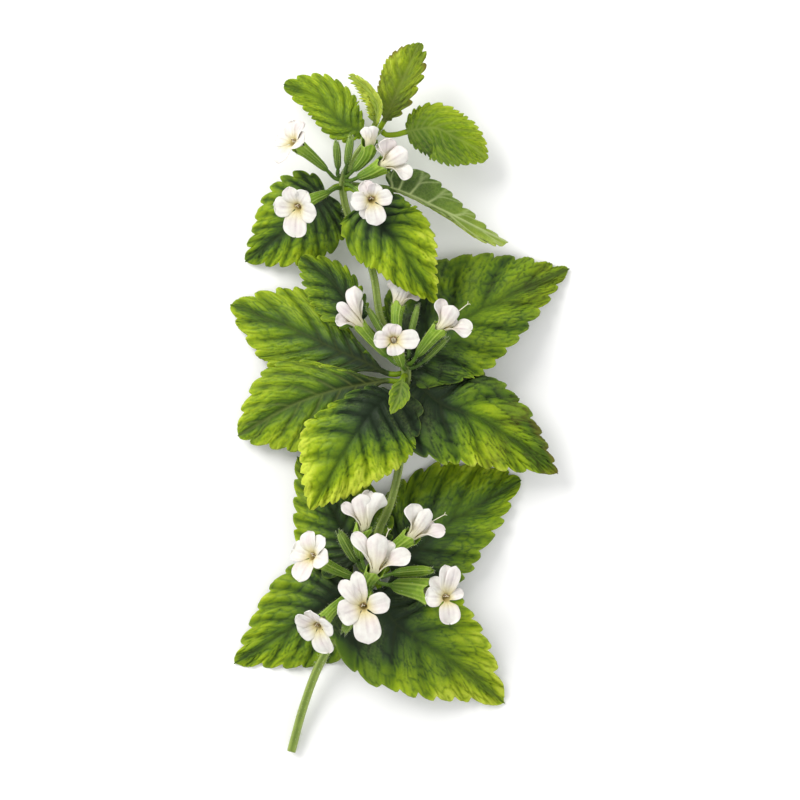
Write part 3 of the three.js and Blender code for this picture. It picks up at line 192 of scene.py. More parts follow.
# spent calyces: pedicel start, base, mouth
BUDS = [
    dict(name='upper_1', pts=[(-11.205, 40.56, 9.583), (-11.166, 41.527, 10.083), (-11.455, 46.39, 10.983)], slim=0.74),
    dict(name='upper_2', pts=[(-9.858, 40.9, 10.983), (-9.58, 42.134, 12.383), (-8.769, 46.976, 14.183)], slim=0.74),
    dict(name='middle_1', pts=[(-0.81, 7.992, 11.183), (-2.109, 10.109, 11.783), (-5.76, 16.389, 12.983)], slim=0.7),
    dict(name='middle_2', pts=[(1.459, 7.805, 10.783), (1.69, 10.465, 10.883), (3.215, 16.939, 11.183)], slim=0.62),
    dict(name='middle_3', pts=[(2.721, 5.969, 10.683), (4.044, 6.792, 11.383), (8.347, 10.928, 12.383)], slim=0.6),
    dict(name='lower_1', pts=[(-6.608, -30.373, 8.583), (-7.774, -29.221, 8.983), (-10.932, -23.839, 10.183)]),
    dict(name='lower_2', pts=[(-3.27, -31.834, 10.183), (-1.275, -31.222, 11.183), (5.691, -30.569, 12.383)], fresh=1),
    dict(name='lower_3', pts=[(-5.934, -34.645, 10.583), (-6.928, -35.757, 11.583), (-10.078, -41.691, 12.383)]),
]


# ---------------------------------------------------------------- shape tools
def hermite(xs, ys, x):
    xs = np.asarray(xs, float); ys = np.asarray(ys, float)
    one = ys.ndim == 1
    if one: ys = ys[:, None]
    n = len(xs)
    m = np.zeros_like(ys)
    for i in range(n):
        if i == 0: m[i] = (ys[1]-ys[0])/(xs[1]-xs[0])
        elif i == n-1: m[i] = (ys[-1]-ys[-2])/(xs[-1]-xs[-2])
        else:
            h0, h1 = xs[i]-xs[i-1], xs[i+1]-xs[i]
            d0, d1 = (ys[i]-ys[i-1])/h0, (ys[i+1]-ys[i])/h1
            m[i] = (d0*h1 + d1*h0)/(h0+h1)
    x = np.asarray(x, float)
    i = np.clip(np.searchsorted(xs, x, side='right')-1, 0, n-2)
    h = (xs[i+1]-xs[i]); t = (x-xs[i])/h
    t = t[..., None]; h = h[..., None]
    r = ((2*t**3-3*t**2+1)*ys[i] + (t**3-2*t**2+t)*h*m[i]
         + (-2*t**3+3*t**2)*ys[i+1] + (t**3-t**2)*h*m[i+1])
    return r[..., 0] if one else r


def unit(v):
    v = np.asarray(v, float)
    return v/np.maximum(np.linalg.norm(v, axis=-1, keepdims=True), 1e-12)


def smooth(a, b, x):
    t = np.clip((np.asarray(x, float)-a)/(b-a), 0, 1)
    return t*t*(3-2*t)


def dots(a, b):
    return (a*b).sum(-1, keepdims=True)


class Curve:
    def __init__(self, pts, n=240):
        pts = np.asarray(pts, float)
        d = np.r_[0, np.cumsum(np.linalg.norm(np.diff(pts, axis=0), axis=1)**0.5)]
        p = hermite(d, pts, np.linspace(0, d[-1], n))
        s = np.r_[0, np.cumsum(np.linalg.norm(np.diff(p, axis=0), axis=1))]
        self.s, self.p, self.L = s, p, s[-1]
        self.knots = [s[int(round(v/d[-1]*(n-1)))] for v in d]

    def at(self, s):
        s = np.asarray(s, float)
        r = np.stack([np.interp(s, self.s, self.p[:, k]) for k in range(3)], -1)
        t0 = unit(self.p[1]-self.p[0]); t1 = unit(self.p[-1]-self.p[-2])
        return r + np.minimum(s, 0)[..., None]*t0 + np.maximum(s-self.L, 0)[..., None]*t1

    def tan(self, s):
        e = self.L*0.01
        s = np.clip(s, 0, self.L)
        return unit(self.at(np.minimum(s+e, self.L)) - self.at(np.maximum(s-e, 0)))

    def frames(self, s, ref):
        """tangent and two side directions carried without twist."""
        s = np.atleast_1d(s)
        grid = np.linspace(0, self.L, 161)
        T = self.tan(grid)
        r = np.asarray(ref, float); side = []
        for t in T:
            r = r-(r @ t)*t; r = r/np.linalg.norm(r); side.append(r)
        side = np.array(side)
        i = np.clip(np.round(s/self.L*160).astype(int), 0, 160)
        t = self.tan(s)
        a = unit(side[i]-dots(side[i], t)*t)
        return t, a, np.cross(t, a)


def lattice(ix, iy, seed):
    h = (ix.astype(np.int64)*374761393 + iy.astype(np.int64)*668265263 + int(seed)*974634777) & 0xffffffff
    h = ((h ^ (h >> 13))*1274126177) & 0xffffffff
    h = (h ^ (h >> 16)) & 0xffffffff
    return h/4294967295.0


def vnoise(x, y, seed):
    """smooth value noise, 0 to 1, cell size 1."""
    ix, iy = np.floor(x), np.floor(y)
    fx, fy = x-ix, y-iy
    fx = fx*fx*(3-2*fx); fy = fy*fy*(3-2*fy)
    a = lattice(ix, iy, seed); b = lattice(ix+1, iy, seed)
    c = lattice(ix, iy+1, seed); d = lattice(ix+1, iy+1, seed)
    return (a*(1-fx)+b*fx)*(1-fy) + (c*(1-fx)+d*fx)*fy


def cells(x, y, seed):
    """distance to the nearest seed and to the border between seeds, cell size 1."""
    ix, iy = np.floor(x), np.floor(y)
    f1 = np.full(x.shape, 9.0); f2 = np.full(x.shape, 9.0)
    for dx in (-1, 0, 1):
        for dy in (-1, 0, 1):
            cx, cy = ix+dx, iy+dy
            px = cx+0.5+(lattice(cx, cy, seed)-0.5)*0.8
            py = cy+0.5+(lattice(cx, cy, seed+31)-0.5)*0.8
            d = np.hypot(px-x, py-y)
            f2 = np.where(d < f1, f1, np.minimum(f2, d)); f1 = np.minimum(f1, d)
    return f1, f2-f1


# ------------------------------------------------------------------ mesh tools
ROOT = "root"


class Build:
    """collects vertices, faces, material numbers and per-vertex values."""
    def __init__(self, *values):
        self.v, self.q, self.t, self.n = [], [], [], 0
        self.qm, self.tm = [], []
        self.values = {k: [] for k in values}

    def add(self, pts, **vals):
        pts = np.asarray(pts, float).reshape(-1, 3)
        first = self.n
        self.v.append(pts); self.n += len(pts)
        for k in self.values:
            a = np.broadcast_to(np.asarray(vals.get(k, 0.0), float).ravel(), (len(pts),)) if np.size(vals.get(k, 0.0)) in (1, len(pts)) else None
            self.values[k].append(a)
        return first

    def quads(self, q, m=0):
        q = np.asarray(q, int).reshape(-1, 4)
        self.q.append(q); self.qm.append(np.full(len(q), m))

    def tris(self, t, m=0):
        t = np.asarray(t, int).reshape(-1, 3)
        self.t.append(t); self.tm.append(np.full(len(t), m))

    def grid(self, ids, m=0, flip=False, wrap=False):
        if wrap: ids = np.concatenate([ids, ids[:, :1]], 1)
        a, b, c, d = ids[:-1, :-1], ids[:-1, 1:], ids[1:, 1:], ids[1:, :-1]
        q = np.stack([a, d, c, b] if flip else [a, b, c, d], -1)
        self.quads(q, m)

    def fan(self, ring, m=0, flip=False):
        ring = np.asarray(ring)
        c = self.add(np.concatenate(self.v)[ring].mean(0), **{k: float(np.concatenate(self.values[k])[ring].mean()) for k in self.values})
        r2 = np.roll(ring, -1)
        cc = np.full(len(ring), c)
        self.tris(np.stack([cc, r2, ring] if flip else [cc, ring, r2], -1), m)

    def make(self, name, mats, node=None):
        V = np.concatenate(self.v)*MM
        V[:, 2] = np.maximum(V[:, 2], 2.0e-5)
        Q = np.concatenate(self.q) if self.q else np.zeros((0, 4), int)
        T = np.concatenate(self.t) if self.t else np.zeros((0, 3), int)
        me = bpy.data.meshes.new(name)
        nq, nt = len(Q), len(T)
        me.vertices.add(len(V)); me.loops.add(nq*4+nt*3); me.polygons.add(nq+nt)
        me.vertices.foreach_set('co', V.ravel())
        me.loops.foreach_set('vertex_index', np.concatenate([Q.ravel(), T.ravel()]).astype(np.int32))
        me.polygons.foreach_set('loop_start', np.concatenate([np.arange(nq)*4, nq*4+np.arange(nt)*3]).astype(np.int32))
        me.polygons.foreach_set('material_index', np.concatenate(self.qm+self.tm).astype(np.int32))
        me.polygons.foreach_set('use_smooth', np.ones(nq+nt, bool))
        for k, parts in self.values.items():
            at = me.attributes.new(k, 'FLOAT', 'POINT')
            at.data.foreach_set('value', np.concatenate(parts).astype(np.float32))
        me.update(calc_edges=True); me.validate()
        for mat in mats: me.materials.append(mat)
        o = bpy.data.objects.new(name, me)
        bpy.context.scene.collection.objects.link(o)
        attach(o, ROOT)
        if node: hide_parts(*([node] if isinstance(node, str) else node))
        return o


def tube(b, pts, radius, m=0, sides=8, **vals):
    """closed round rod through points."""
    pts = np.asarray(pts, float)
    c = Curve(pts) if len(pts) > 2 else Curve([pts[0], (pts[0]+pts[1])/2, pts[1]])
    n = len(radius)
    s = np.linspace(0, c.L, n)
    t, a, d = c.frames(s, [0.31, 0.52, 0.8])
    w = np.linspace(0, 2*np.pi, sides, endpoint=False)
    P = c.at(s)[:, None] + np.asarray(radius)[:, None, None]*(a[:, None]*np.cos(w)[None, :, None] + d[:, None]*np.sin(w)[None, :, None])
    first = b.add(P, **vals)
    ids = first+np.arange(n*sides).reshape(n, sides)
    b.grid(ids, m, wrap=True)
    b.fan(ids[0], m, flip=True); b.fan(ids[-1], m)


def hairs(b, base, direction, length, radius=0.022, m=0, bend=None, **vals):
    """three-sided tapering hairs, vectorised."""
    base = np.asarray(base, float); d = unit(direction)
    ref = np.where(np.abs(d[:, 2:3]) < 0.9, np.array([[0, 0, 1.0]]), np.array([[1.0, 0, 0]]))
    a = unit(np.cross(d, ref)); c = np.cross(d, a)
    L = np.broadcast_to(np.asarray(length, float), (len(base),))[:, None]
    rows = []
    side = unit(bend) if bend is not None else a
    for u, r in ((0.0, 1.0), (0.55, 0.7)):
        o = base + d*L*u + side*L*0.18*u*u
        for k in range(3):
            w = 2*np.pi*k/3
            rows.append(o + radius*r*(a*np.cos(w)+c*np.sin(w)))
    rows.append(base + d*L + side*L*0.18)
    P = np.stack(rows, 1)
    n = len(base)
    first = b.add(P, **vals)
    i = first+np.arange(n)[:, None]*7
    for k in range(3):
        k2 = (k+1) % 3
        b.quads(np.concatenate([i+k, i+k2, i+3+k2, i+3+k], 1), m)
        b.tris(np.concatenate([i+3+k, i+3+k2, i+6], 1), m)
    b.tris(np.concatenate([i, i+2, i+1], 1), m)


# ------------------------------------------------------------------- materials
def lin(r, g, b):
    f = lambda v: (v/255/12.92) if v/255 <= 0.04045 else ((v/255+0.055)/1.055)**2.4
    return (f(r), f(g), f(b), 1.0)


class Nodes:
    def __init__(self, name):
        self.mat = bpy.data.materials.new(name)
        self.mat.use_nodes = True
        self.t = self.mat.node_tree
        self.t.nodes.clear()
        self.out = self.new('ShaderNodeOutputMaterial')
        self.bsdf = self.new('ShaderNodeBsdfPrincipled')
        self.link(self.bsdf.outputs[0], self.out.inputs['Surface'])

    def new(self, kind, **kw):
        n = self.t.nodes.new(kind)
        for k, v in kw.items(): setattr(n, k, v)
        return n

    def link(self, a, b): self.t.links.new(a, b)

    def put(self, sock, v):
        if hasattr(v, 'is_linked') or hasattr(v, 'links'): self.link(v, sock)
        else: sock.default_value = v

    def attr(self, name): return self.new('ShaderNodeAttribute', attribute_name=name, attribute_type='GEOMETRY').outputs['Fac']

    def math(self, op, a, b=None, c=None, clamp=False):
        n = self.new('ShaderNodeMath', operation=op, use_clamp=clamp)
        self.put(n.inputs[0], a)
        if b is not None: self.put(n.inputs[1], b)
        if c is not None: self.put(n.inputs[2], c)
        return n.outputs[0]

    def mix(self, fac, a, b, blend='MIX'):
        n = self.new('ShaderNodeMix', data_type='RGBA', blend_type=blend)
        self.put(n.inputs['Factor'], fac); self.put(n.inputs[6], a); self.put(n.inputs[7], b)
        return n.outputs[2]

    def ramp(self, fac, stops, ease='LINEAR'):
        n = self.new('ShaderNodeValToRGB')
        n.color_ramp.interpolation = ease
        e = n.color_ramp.elements
        while len(e) < len(stops): e.new(0.5)
        for i, (p, col) in enumerate(stops):
            e[i].position = p
            e[i].color = col if len(col) == 4 else (*col, 1)
        self.put(n.inputs[0], fac)
        return n.outputs[0]

    def maprange(self, v, a, b, c, d):
        n = self.new('ShaderNodeMapRange')
        for i, x in enumerate((v, a, b, c, d)): self.put(n.inputs[i], x)
        return n.outputs[0]

    def coords(self, x='fx', y='fy', z='fz'):
        n = self.new('ShaderNodeCombineXYZ')
        self.put(n.inputs[0], self.attr(x)); self.put(n.inputs[1], self.attr(y)); self.put(n.inputs[2], self.attr(z))
        return n.outputs[0]

    def noise(self, vec, scale, detail=3, rough=0.55):
        n = self.new('ShaderNodeTexNoise')
        self.put(n.inputs['Vector'], vec)
        n.inputs['Scale'].default_value = scale; n.inputs['Detail'].default_value = detail; n.inputs['Roughness'].default_value = rough
        return n.outputs[0]

    def voronoi(self, vec, scale, feature='F1'):
        n = self.new('ShaderNodeTexVoronoi', feature=feature)
        self.put(n.inputs['Vector'], vec); n.inputs['Scale'].default_value = scale
        return n.outputs['Distance']

    def bump(self, height, strength, dist_mm, normal=None):
        n = self.new('ShaderNodeBump')
        n.inputs['Strength'].default_value = strength; n.inputs['Distance'].default_value = dist_mm*MM
        self.put(n.inputs['Height'], height)
        if normal is not None: self.link(normal, n.inputs['Normal'])
        return n.outputs[0]

    def set(self, **kw):
        for k, v in kw.items():
            self.put(self.bsdf.inputs[k.replace('_', ' ')], v)


def obj_coords(nd, scale=1000.0):
    """object position in millimetres."""
    tc = nd.new('ShaderNodeTexCoord')
    m = nd.new('ShaderNodeVectorMath', operation='SCALE')
    nd.link(tc.outputs['Object'], m.inputs[0]); m.inputs['Scale'].default_value = scale
    return m.outputs[0]


def leaf_top_material():
    nd = Nodes('leaf_top')
    p = nd.coords()
    tone, vein, cell, crease, edge, bul = (nd.attr(k) for k in ('tone', 'vein', 'cell', 'crease', 'edge', 'bul'))
    n1 = nd.noise(p, 0.55, 4, 0.6)
    n2 = nd.noise(p, 2.6, 4, 0.65)
    t = nd.math('ADD', tone, nd.math('MULTIPLY', nd.math('SUBTRACT', n1, 0.5), 0.12))
    t = nd.math('ADD', t, nd.math('MULTIPLY', nd.math('SUBTRACT', n2, 0.5), 0.10))
    # painted shade: darker towards the borders of the quilted cells
    t = nd.math('ADD', t, nd.math('MULTIPLY', nd.math('SUBTRACT', cell, 0.6), 0.10), clamp=True)
    col = nd.ramp(t, [(0.0, lin(24, 41, 18)), (0.16, lin(41, 64, 25)), (0.36, lin(72, 101, 16)), (0.56, lin(107, 134, 6)),
                      (0.78, lin(142, 165, 8)), (1.0, lin(190, 204, 58))])
    small = nd.voronoi(p, 1.25, 'DISTANCE_TO_EDGE')
    fine = nd.ramp(small, [(0.0, (0.88, 0.90, 0.86, 1)), (0.10, (0.98, 0.98, 0.98, 1)), (0.35, (1.03, 1.03, 1.03, 1))])
    col = nd.mix(nd.maprange(t, 0.06, 0.50, 0.15, 0.8), col, fine, 'MULTIPLY')
    # painted shade: darker in the vein furrows, the midrib groove and the quilting network
    dark = nd.maprange(crease, 0.05, 1.0, 1.03, 0.60)
    col = nd.mix(1.0, col, dark, 'MULTIPLY')
    # painted sheen: a pale highlight on the crests of the bulges between the veins
    crest_sheen = nd.math('MULTIPLY', nd.math('POWER', bul, 5.0), nd.maprange(n2, 0.35, 0.7, 0.0, 0.13))
    col = nd.mix(crest_sheen, col, lin(168, 190, 96))
    pale = nd.mix(0.70, col, lin(186, 204, 100))
    v2 = nd.math('POWER', vein, 1.3)
    col = nd.mix(v2, col, pale)
    rim = nd.math('MULTIPLY', nd.maprange(edge, 0.965, 1.0, 0.0, 1.0), 0.14)
    col = nd.mix(rim, col, lin(188, 204, 104))
    col = nd.mix(nd.attr('brown'), col, lin(104, 94, 30))
    nd.set(Base_Color=col)
    nd.set(Roughness=nd.math('ADD', nd.maprange(n2, 0.25, 0.75, 0.42, 0.58), nd.math('MULTIPLY', crease, 0.35), clamp=True))
    b = nd.bump(small, 0.26, 0.10)
    b = nd.bump(nd.noise(p, 7.0, 3, 0.6), 0.35, 0.05, b)
    nd.set(Normal=b)
    nd.bsdf.inputs['Specular IOR Level'].default_value = 0.20
    nd.bsdf.inputs['Subsurface Weight'].default_value = 0.10
    nd.bsdf.inputs['Subsurface Radius'].default_value = (0.35, 0.9, 0.15)
    nd.bsdf.inputs['Subsurface Scale'].default_value = 0.0006
    return nd.mat


def leaf_under_material():
    nd = Nodes('leaf_under')
    p = nd.coords()
    tone, vein, cell, crease = nd.attr('tone'), nd.attr('vein'), nd.attr('cell'), nd.attr('crease')
    n1 = nd.noise(p, 0.5, 4, 0.6)
    n2 = nd.noise(p, 3.0, 3, 0.6)
    t = nd.math('ADD', nd.math('MULTIPLY', tone, 0.8), nd.math('MULTIPLY', nd.math('SUBTRACT', n1, 0.5), 0.25))
    t = nd.math('ADD', t, nd.math('MULTIPLY', nd.math('SUBTRACT', n2, 0.5), 0.15), clamp=True)
    col = nd.ramp(t, [(0.0, lin(50, 72, 26)), (0.35, lin(88, 114, 34)), (0.7, lin(130, 152, 44)), (1.0, lin(176, 194, 84))])
    small = nd.voronoi(p, 1.55, 'DISTANCE_TO_EDGE')
    net = nd.ramp(small, [(0.0, (1, 1, 1, 1)), (0.09, (0.25, 0.25, 0.25, 1)), (0.2, (0, 0, 0, 1))])
    col = nd.mix(nd.math('MULTIPLY', net, 0.14), col, lin(150, 168, 96))
    col = nd.mix(nd.math('MULTIPLY', nd.math('POWER', vein, 1.6), 0.85), col, lin(178, 192, 128))
    nd.set(Base_Color=col)
    nd.set(Roughness=nd.maprange(n2, 0.25, 0.75, 0.55, 0.72))
    inv = nd.math('SUBTRACT', 0.5, small)
    b = nd.bump(inv, 0.25, 0.08)
    b = nd.bump(nd.noise(p, 9.0, 3, 0.6), 0.35, 0.05, b)
    nd.set(Normal=b)
    nd.bsdf.inputs['Specular IOR Level'].default_value = 0.3
    nd.bsdf.inputs['Subsurface Weight'].default_value = 0.10
    nd.bsdf.inputs['Subsurface Radius'].default_value = (0.35, 0.9, 0.2)
    nd.bsdf.inputs['Subsurface Scale'].default_value = 0.0006
    return nd.mat


def calyx_material(name, spent=False):
    nd = Nodes(name)
    p = obj_coords(nd)
    rib, along, inner = nd.attr('rib'), nd.attr('along'), nd.attr('inner')
    n1 = nd.noise(p, 0.9, 3, 0.6)
    t = nd.math('ADD', nd.math('MULTIPLY', along, 0.62), nd.math('MULTIPLY', n1, 0.48), clamp=True)
    if spent:
        col = nd.ramp(t, [(0.0, lin(66, 90, 34)), (0.45, lin(68, 96, 28)), (0.75, lin(88, 118, 34)), (1.0, lin(140, 164, 82))])
    else:
        col = nd.ramp(t, [(0.0, lin(76, 102, 34)), (0.4, lin(76, 108, 20)), (0.7, lin(96, 130, 20)), (1.0, lin(150, 180, 56))])
    col = nd.mix(nd.math('MULTIPLY', nd.math('POWER', rib, 1.5), 0.66, clamp=True), col, lin(182, 202, 98))
    # painted shade: darker green deep inside the calyx cup
    col = nd.mix(nd.math('MULTIPLY', inner, 0.75), col, lin(58, 74, 34))
    nd.set(Base_Color=col, Roughness=nd.maprange(n1, 0.3, 0.7, 0.5, 0.68))
    nd.set(Normal=nd.bump(nd.noise(p, 6.0, 3, 0.6), 0.4, 0.06))
    nd.bsdf.inputs['Specular IOR Level'].default_value = 0.35
    nd.bsdf.inputs['Subsurface Weight'].default_value = 0.12
    nd.bsdf.inputs['Subsurface Radius'].default_value = (0.5, 1.0, 0.25)
    nd.bsdf.inputs['Subsurface Scale'].default_value = 0.0005
    return nd.mat


def stem_material():
    nd = Nodes('stem_skin')
    p = obj_coords(nd)
    ridge, node, along, cut = nd.attr('rib'), nd.attr('node'), nd.attr('along'), nd.attr('cut')
    c = nd.new('ShaderNodeCombineXYZ')
    nd.put(c.inputs[0], nd.attr('fx')); nd.put(c.inputs[1], nd.attr('fy')); nd.put(c.inputs[2], 0.0)
    streak = nd.noise(c.outputs[0], 1.0, 4, 0.6)
    n1 = nd.noise(p, 0.35, 3, 0.6)
    t = nd.math('ADD', nd.math('MULTIPLY', streak, 0.6), nd.math('MULTIPLY', n1, 0.45), clamp=True)
    col = nd.ramp(t, [(0.2, lin(66, 84, 28)), (0.5, lin(102, 124, 42)), (0.75, lin(130, 150, 58)), (0.95, lin(158, 174, 84))])
    col = nd.mix(nd.math('MULTIPLY', ridge, 0.5), col, lin(168, 184, 100))
    col = nd.mix(nd.math('MULTIPLY', node, 0.45), col, lin(92, 112, 50))
    rings = nd.ramp(nd.attr('cut'), [(0.0, (0, 0, 0, 1)), (0.5, (0.4, 0.4, 0.4, 1)), (1.0, (1, 1, 1, 1))])
    col = nd.mix(rings, col, lin(196, 200, 150))
    nd.set(Base_Color=col, Roughness=nd.maprange(streak, 0.3, 0.7, 0.42, 0.6))
    b = nd.bump(streak, 0.4, 0.12)
    nd.set(Normal=nd.bump(nd.noise(p, 5.0, 3, 0.6), 0.3, 0.05, b))
    nd.bsdf.inputs['Specular IOR Level'].default_value = 0.4
    nd.bsdf.inputs['Subsurface Weight'].default_value = 0.1
    nd.bsdf.inputs['Subsurface Radius'].default_value = (0.5, 1.0, 0.25)
    nd.bsdf.inputs['Subsurface Scale'].default_value = 0.0006
    return nd.mat


def petal_material():
    nd = Nodes('petal')
    p = obj_coords(nd)
    thr, lip, crease, edge = nd.attr('thr'), nd.attr('lip'), nd.attr('crease'), nd.attr('edge')
    n1 = nd.noise(p, 0.6, 3, 0.6)
    n2 = nd.noise(p, 4.0, 3, 0.6)
    col = nd.ramp(n1, [(0.3, lin(208, 204, 198)), (0.5, lin(221, 219, 211)), (0.7, lin(228, 227, 220))])
    n3 = nd.noise(p, 0.28, 2, 0.5)
    col = nd.mix(nd.maprange(n3, 0.45, 0.75, 0.0, 0.55), col, lin(216, 196, 200))
    # painted shade: pinkish grey in the petal creases and folds
    cr = nd.math('MULTIPLY', crease, nd.maprange(n2, 0.3, 0.7, 0.6, 1.0))
    col = nd.mix(nd.math('MULTIPLY', cr, 0.62), col, lin(158, 138, 146))
    cream = nd.math('MULTIPLY', nd.math('POWER', thr, 1.6), 0.60)
    col = nd.mix(cream, col, lin(214, 208, 138))
    inside = nd.attr('inner')
    warm = nd.math('MULTIPLY', nd.math('POWER', thr, 3.5), nd.math('MULTIPLY', inside, 0.75))
    col = nd.mix(warm, col, lin(188, 166, 60))
    # darker brown deep in the tube: partly the throat's own colour, partly painted shade
    deep = nd.math('MULTIPLY', nd.maprange(thr, 0.86, 0.95, 0.0, 0.60), inside)
    col = nd.mix(deep, col, lin(118, 94, 32))
    spots = nd.voronoi(p, 2.3)
    dot = nd.ramp(spots, [(0.0, (1, 1, 1, 1)), (0.16, (0.8, 0.8, 0.8, 1)), (0.26, (0, 0, 0, 1))])
    dot = nd.math('MULTIPLY', dot, nd.math('MULTIPLY', lip, nd.math('POWER', thr, 2.0)))
    col = nd.mix(nd.math('MULTIPLY', dot, 0.7), col, lin(150, 104, 80))
    nd.set(Base_Color=col, Roughness=nd.maprange(n2, 0.3, 0.7, 0.5, 0.66))
    b = nd.bump(crease, 0.5, 0.12)
    nd.set(Normal=nd.bump(nd.noise(p, 5.0, 3, 0.6), 0.25, 0.04, b))
    nd.bsdf.inputs['Specular IOR Level'].default_value = 0.3
    nd.bsdf.inputs['Subsurface Weight'].default_value = 0.25
    nd.bsdf.inputs['Subsurface Radius'].default_value = (1.0, 0.95, 0.85)
    nd.bsdf.inputs['Subsurface Scale'].default_value = 0.0008
    return nd.mat


def plain_material(name, c0, c1, rough=0.5, scale=3.0):
    nd = Nodes(name)
    p = obj_coords(nd)
    n = nd.noise(p, scale, 3, 0.6)
    nd.set(Base_Color=nd.ramp(n, [(0.3, lin(*c0)), (0.7, lin(*c1))]), Roughness=nd.maprange(n, 0.3, 0.7, rough-0.08, rough+0.08))
    nd.set(Normal=nd.bump(n, 0.2, 0.04))
    nd.bsdf.inputs['Specular IOR Level'].default_value = 0.35
    return nd.mat


# ---------------------------------------------------------------------- leaves
KNOTS = [0, .05, .12, .21, .32, .44, .56, .68, .79, .89, .96, 1]
MIDRIB = [0, .006, .016, .036, .075, .140, .235, .355, .510, .705, .865, 1]
OUTLINES = {
    'attenuate': [(0,0),(.05,.07),(.12,.16),(.22,.34),(.34,.60),(.47,.87),(.59,1.0),(.71,.93),(.82,.68),(.915,.37),(.97,.15),(1,0)],
    'ovate': [(0,0),(-.035,.26),(-.02,.56),(.06,.83),(.20,.985),(.36,.99),(.52,.86),(.67,.64),(.80,.41),(.905,.205),(.965,.08),(1,0)],
    'broad': [(0,0),(-.045,.24),(-.06,.52),(-.01,.82),(.12,.985),(.29,1.0),(.47,.89),(.64,.68),(.79,.43),(.90,.215),(.965,.08),(1,0)],
    'elliptic': [(0,0),(-.005,.24),(.03,.50),(.11,.76),(.25,.96),(.42,1.0),(.58,.94),(.72,.77),(.84,.55),(.93,.32),(.98,.14),(1,0)],
    'obovate': [(0,0),(.02,.10),(.06,.28),(.13,.52),(.24,.78),(.37,.93),(.51,1.0),(.65,.99),(.79,.84),(.91,.49),(.97,.21),(1,0)],
    'even': [(0,0),(.01,.16),(.05,.38),(.13,.64),(.26,.86),(.42,.98),(.57,1.0),(.70,.93),(.83,.72),(.93,.42),(.98,.18),(1,0)],
    'broad_base': [(0,0),(-.05,.26),(-.08,.57),(-.03,.88),(.10,1.05),(.27,1.06),(.46,.90),(.64,.68),(.79,.43),(.905,.215),(.965,.08),(1,0)],
    'sloped': [(0,0),(.01,.10),(.04,.24),(.10,.39),(.18,.53),(.28,.68),(.40,.84),(.54,.92),(.69,.76),(.83,.46),(.94,.19),(1,0)],
    'lance_near': [(0,0),(-.05,.30),(-.045,.58),(.005,.85),(.09,.99),(.21,.95),(.35,.80),(.50,.60),(.65,.39),(.80,.20),(.92,.07),(1,0)],
    'lance_far': [(0,0),(.06,.10),(.14,.18),(.25,.24),(.37,.32),(.49,.46),(.61,.70),(.73,.93),(.84,1.0),(.93,.72),(.975,.36),(1,0)],
    'tucked': [(0,0),(.07,.04),(.12,.10),(.17,.24),(.23,.62),(.31,.95),(.47,.89),(.64,.68),(.79,.43),(.90,.215),(.965,.08),(1,0)],
    'lance': [(0,0),(.02,.14),(.065,.34),(.15,.60),(.27,.86),(.41,1.0),(.55,.95),(.68,.75),(.80,.50),(.90,.26),(.96,.10),(1,0)],
}


class Leaf:
    def __init__(self, d):
        self.d = d
        pet, mid = list(d['pet']), list(d['mid'])
        near = STEM_CURVE.p[np.argmin(np.linalg.norm(STEM_CURVE.p-np.array(pet[0]), axis=1))]
        start = near + 0.35*(np.array(pet[0])-near)
        self.mid = Curve([list(start)]+pet+mid)
        self.base = self.mid.knots[len(pet)+1]
        self.base -= d.get('ext', 0.0)
        self.L = self.mid.L-self.base
        self.n0, self.n1 = unit(d['n0']), unit(d['n1'])
        self.o = {1: np.array(OUTLINES[d['shape']]), -1: np.array(OUTLINES[d.get('shapeL') or d['shape']])}
        if d.get('wedge'):
            for o in self.o.values(): o[1:5] = [(.004, .15), (.025, .40), (.08, .72), (.19, .95)]

    def flat(self, s, t, side):
        o = hermite(KNOTS, self.o[side], s)
        a = hermite(KNOTS, MIDRIB, s)*self.L
        b, w = o[..., 0]*self.L, np.maximum(o[..., 1], 0)*(self.d['wr'] if side > 0 else self.d['wl'])
        return a + (b-a)*(0.6*t+0.4*t*t), w*t

    def lift(self, x, y):
        d = self.d
        u = np.clip(x/self.L, 0, 1)[..., None]
        t = self.mid.tan(self.base+x)
        n = self.n0*(1-u) + self.n1*u
        n = unit(n - dots(n, t)*t)
        r = np.cross(t, n)
        p = self.mid.at(self.base+x)
        side = np.where(y >= 0, 1.0, -1.0)
        W = np.where(y >= 0, d['wr'], d['wl'])
        al = np.radians(np.where(y >= 0, d['fr'], d['fl']))
        k = np.radians(np.where(y >= 0, d['cr'], d['cl'])); k = np.where(np.abs(k) < 1e-3, 1e-3, k)
        q = np.abs(y)
        th = al + k*q/W
        lat = W/k*(np.sin(th)-np.sin(al)); nor = -W/k*(np.cos(th)-np.cos(al))
        wv = d['wave']*np.sin(2*np.pi*d['wf']*x/self.L + side*0.7)*(q/W)**2
        P = p + (side*lat)[..., None]*r + (nor+wv)[..., None]*n
        f = np.minimum(q/0.6, 1)
        N = n*np.cos(th*f)[..., None] - r*(side*np.sin(th*f))[..., None]
        return P, unit(N)


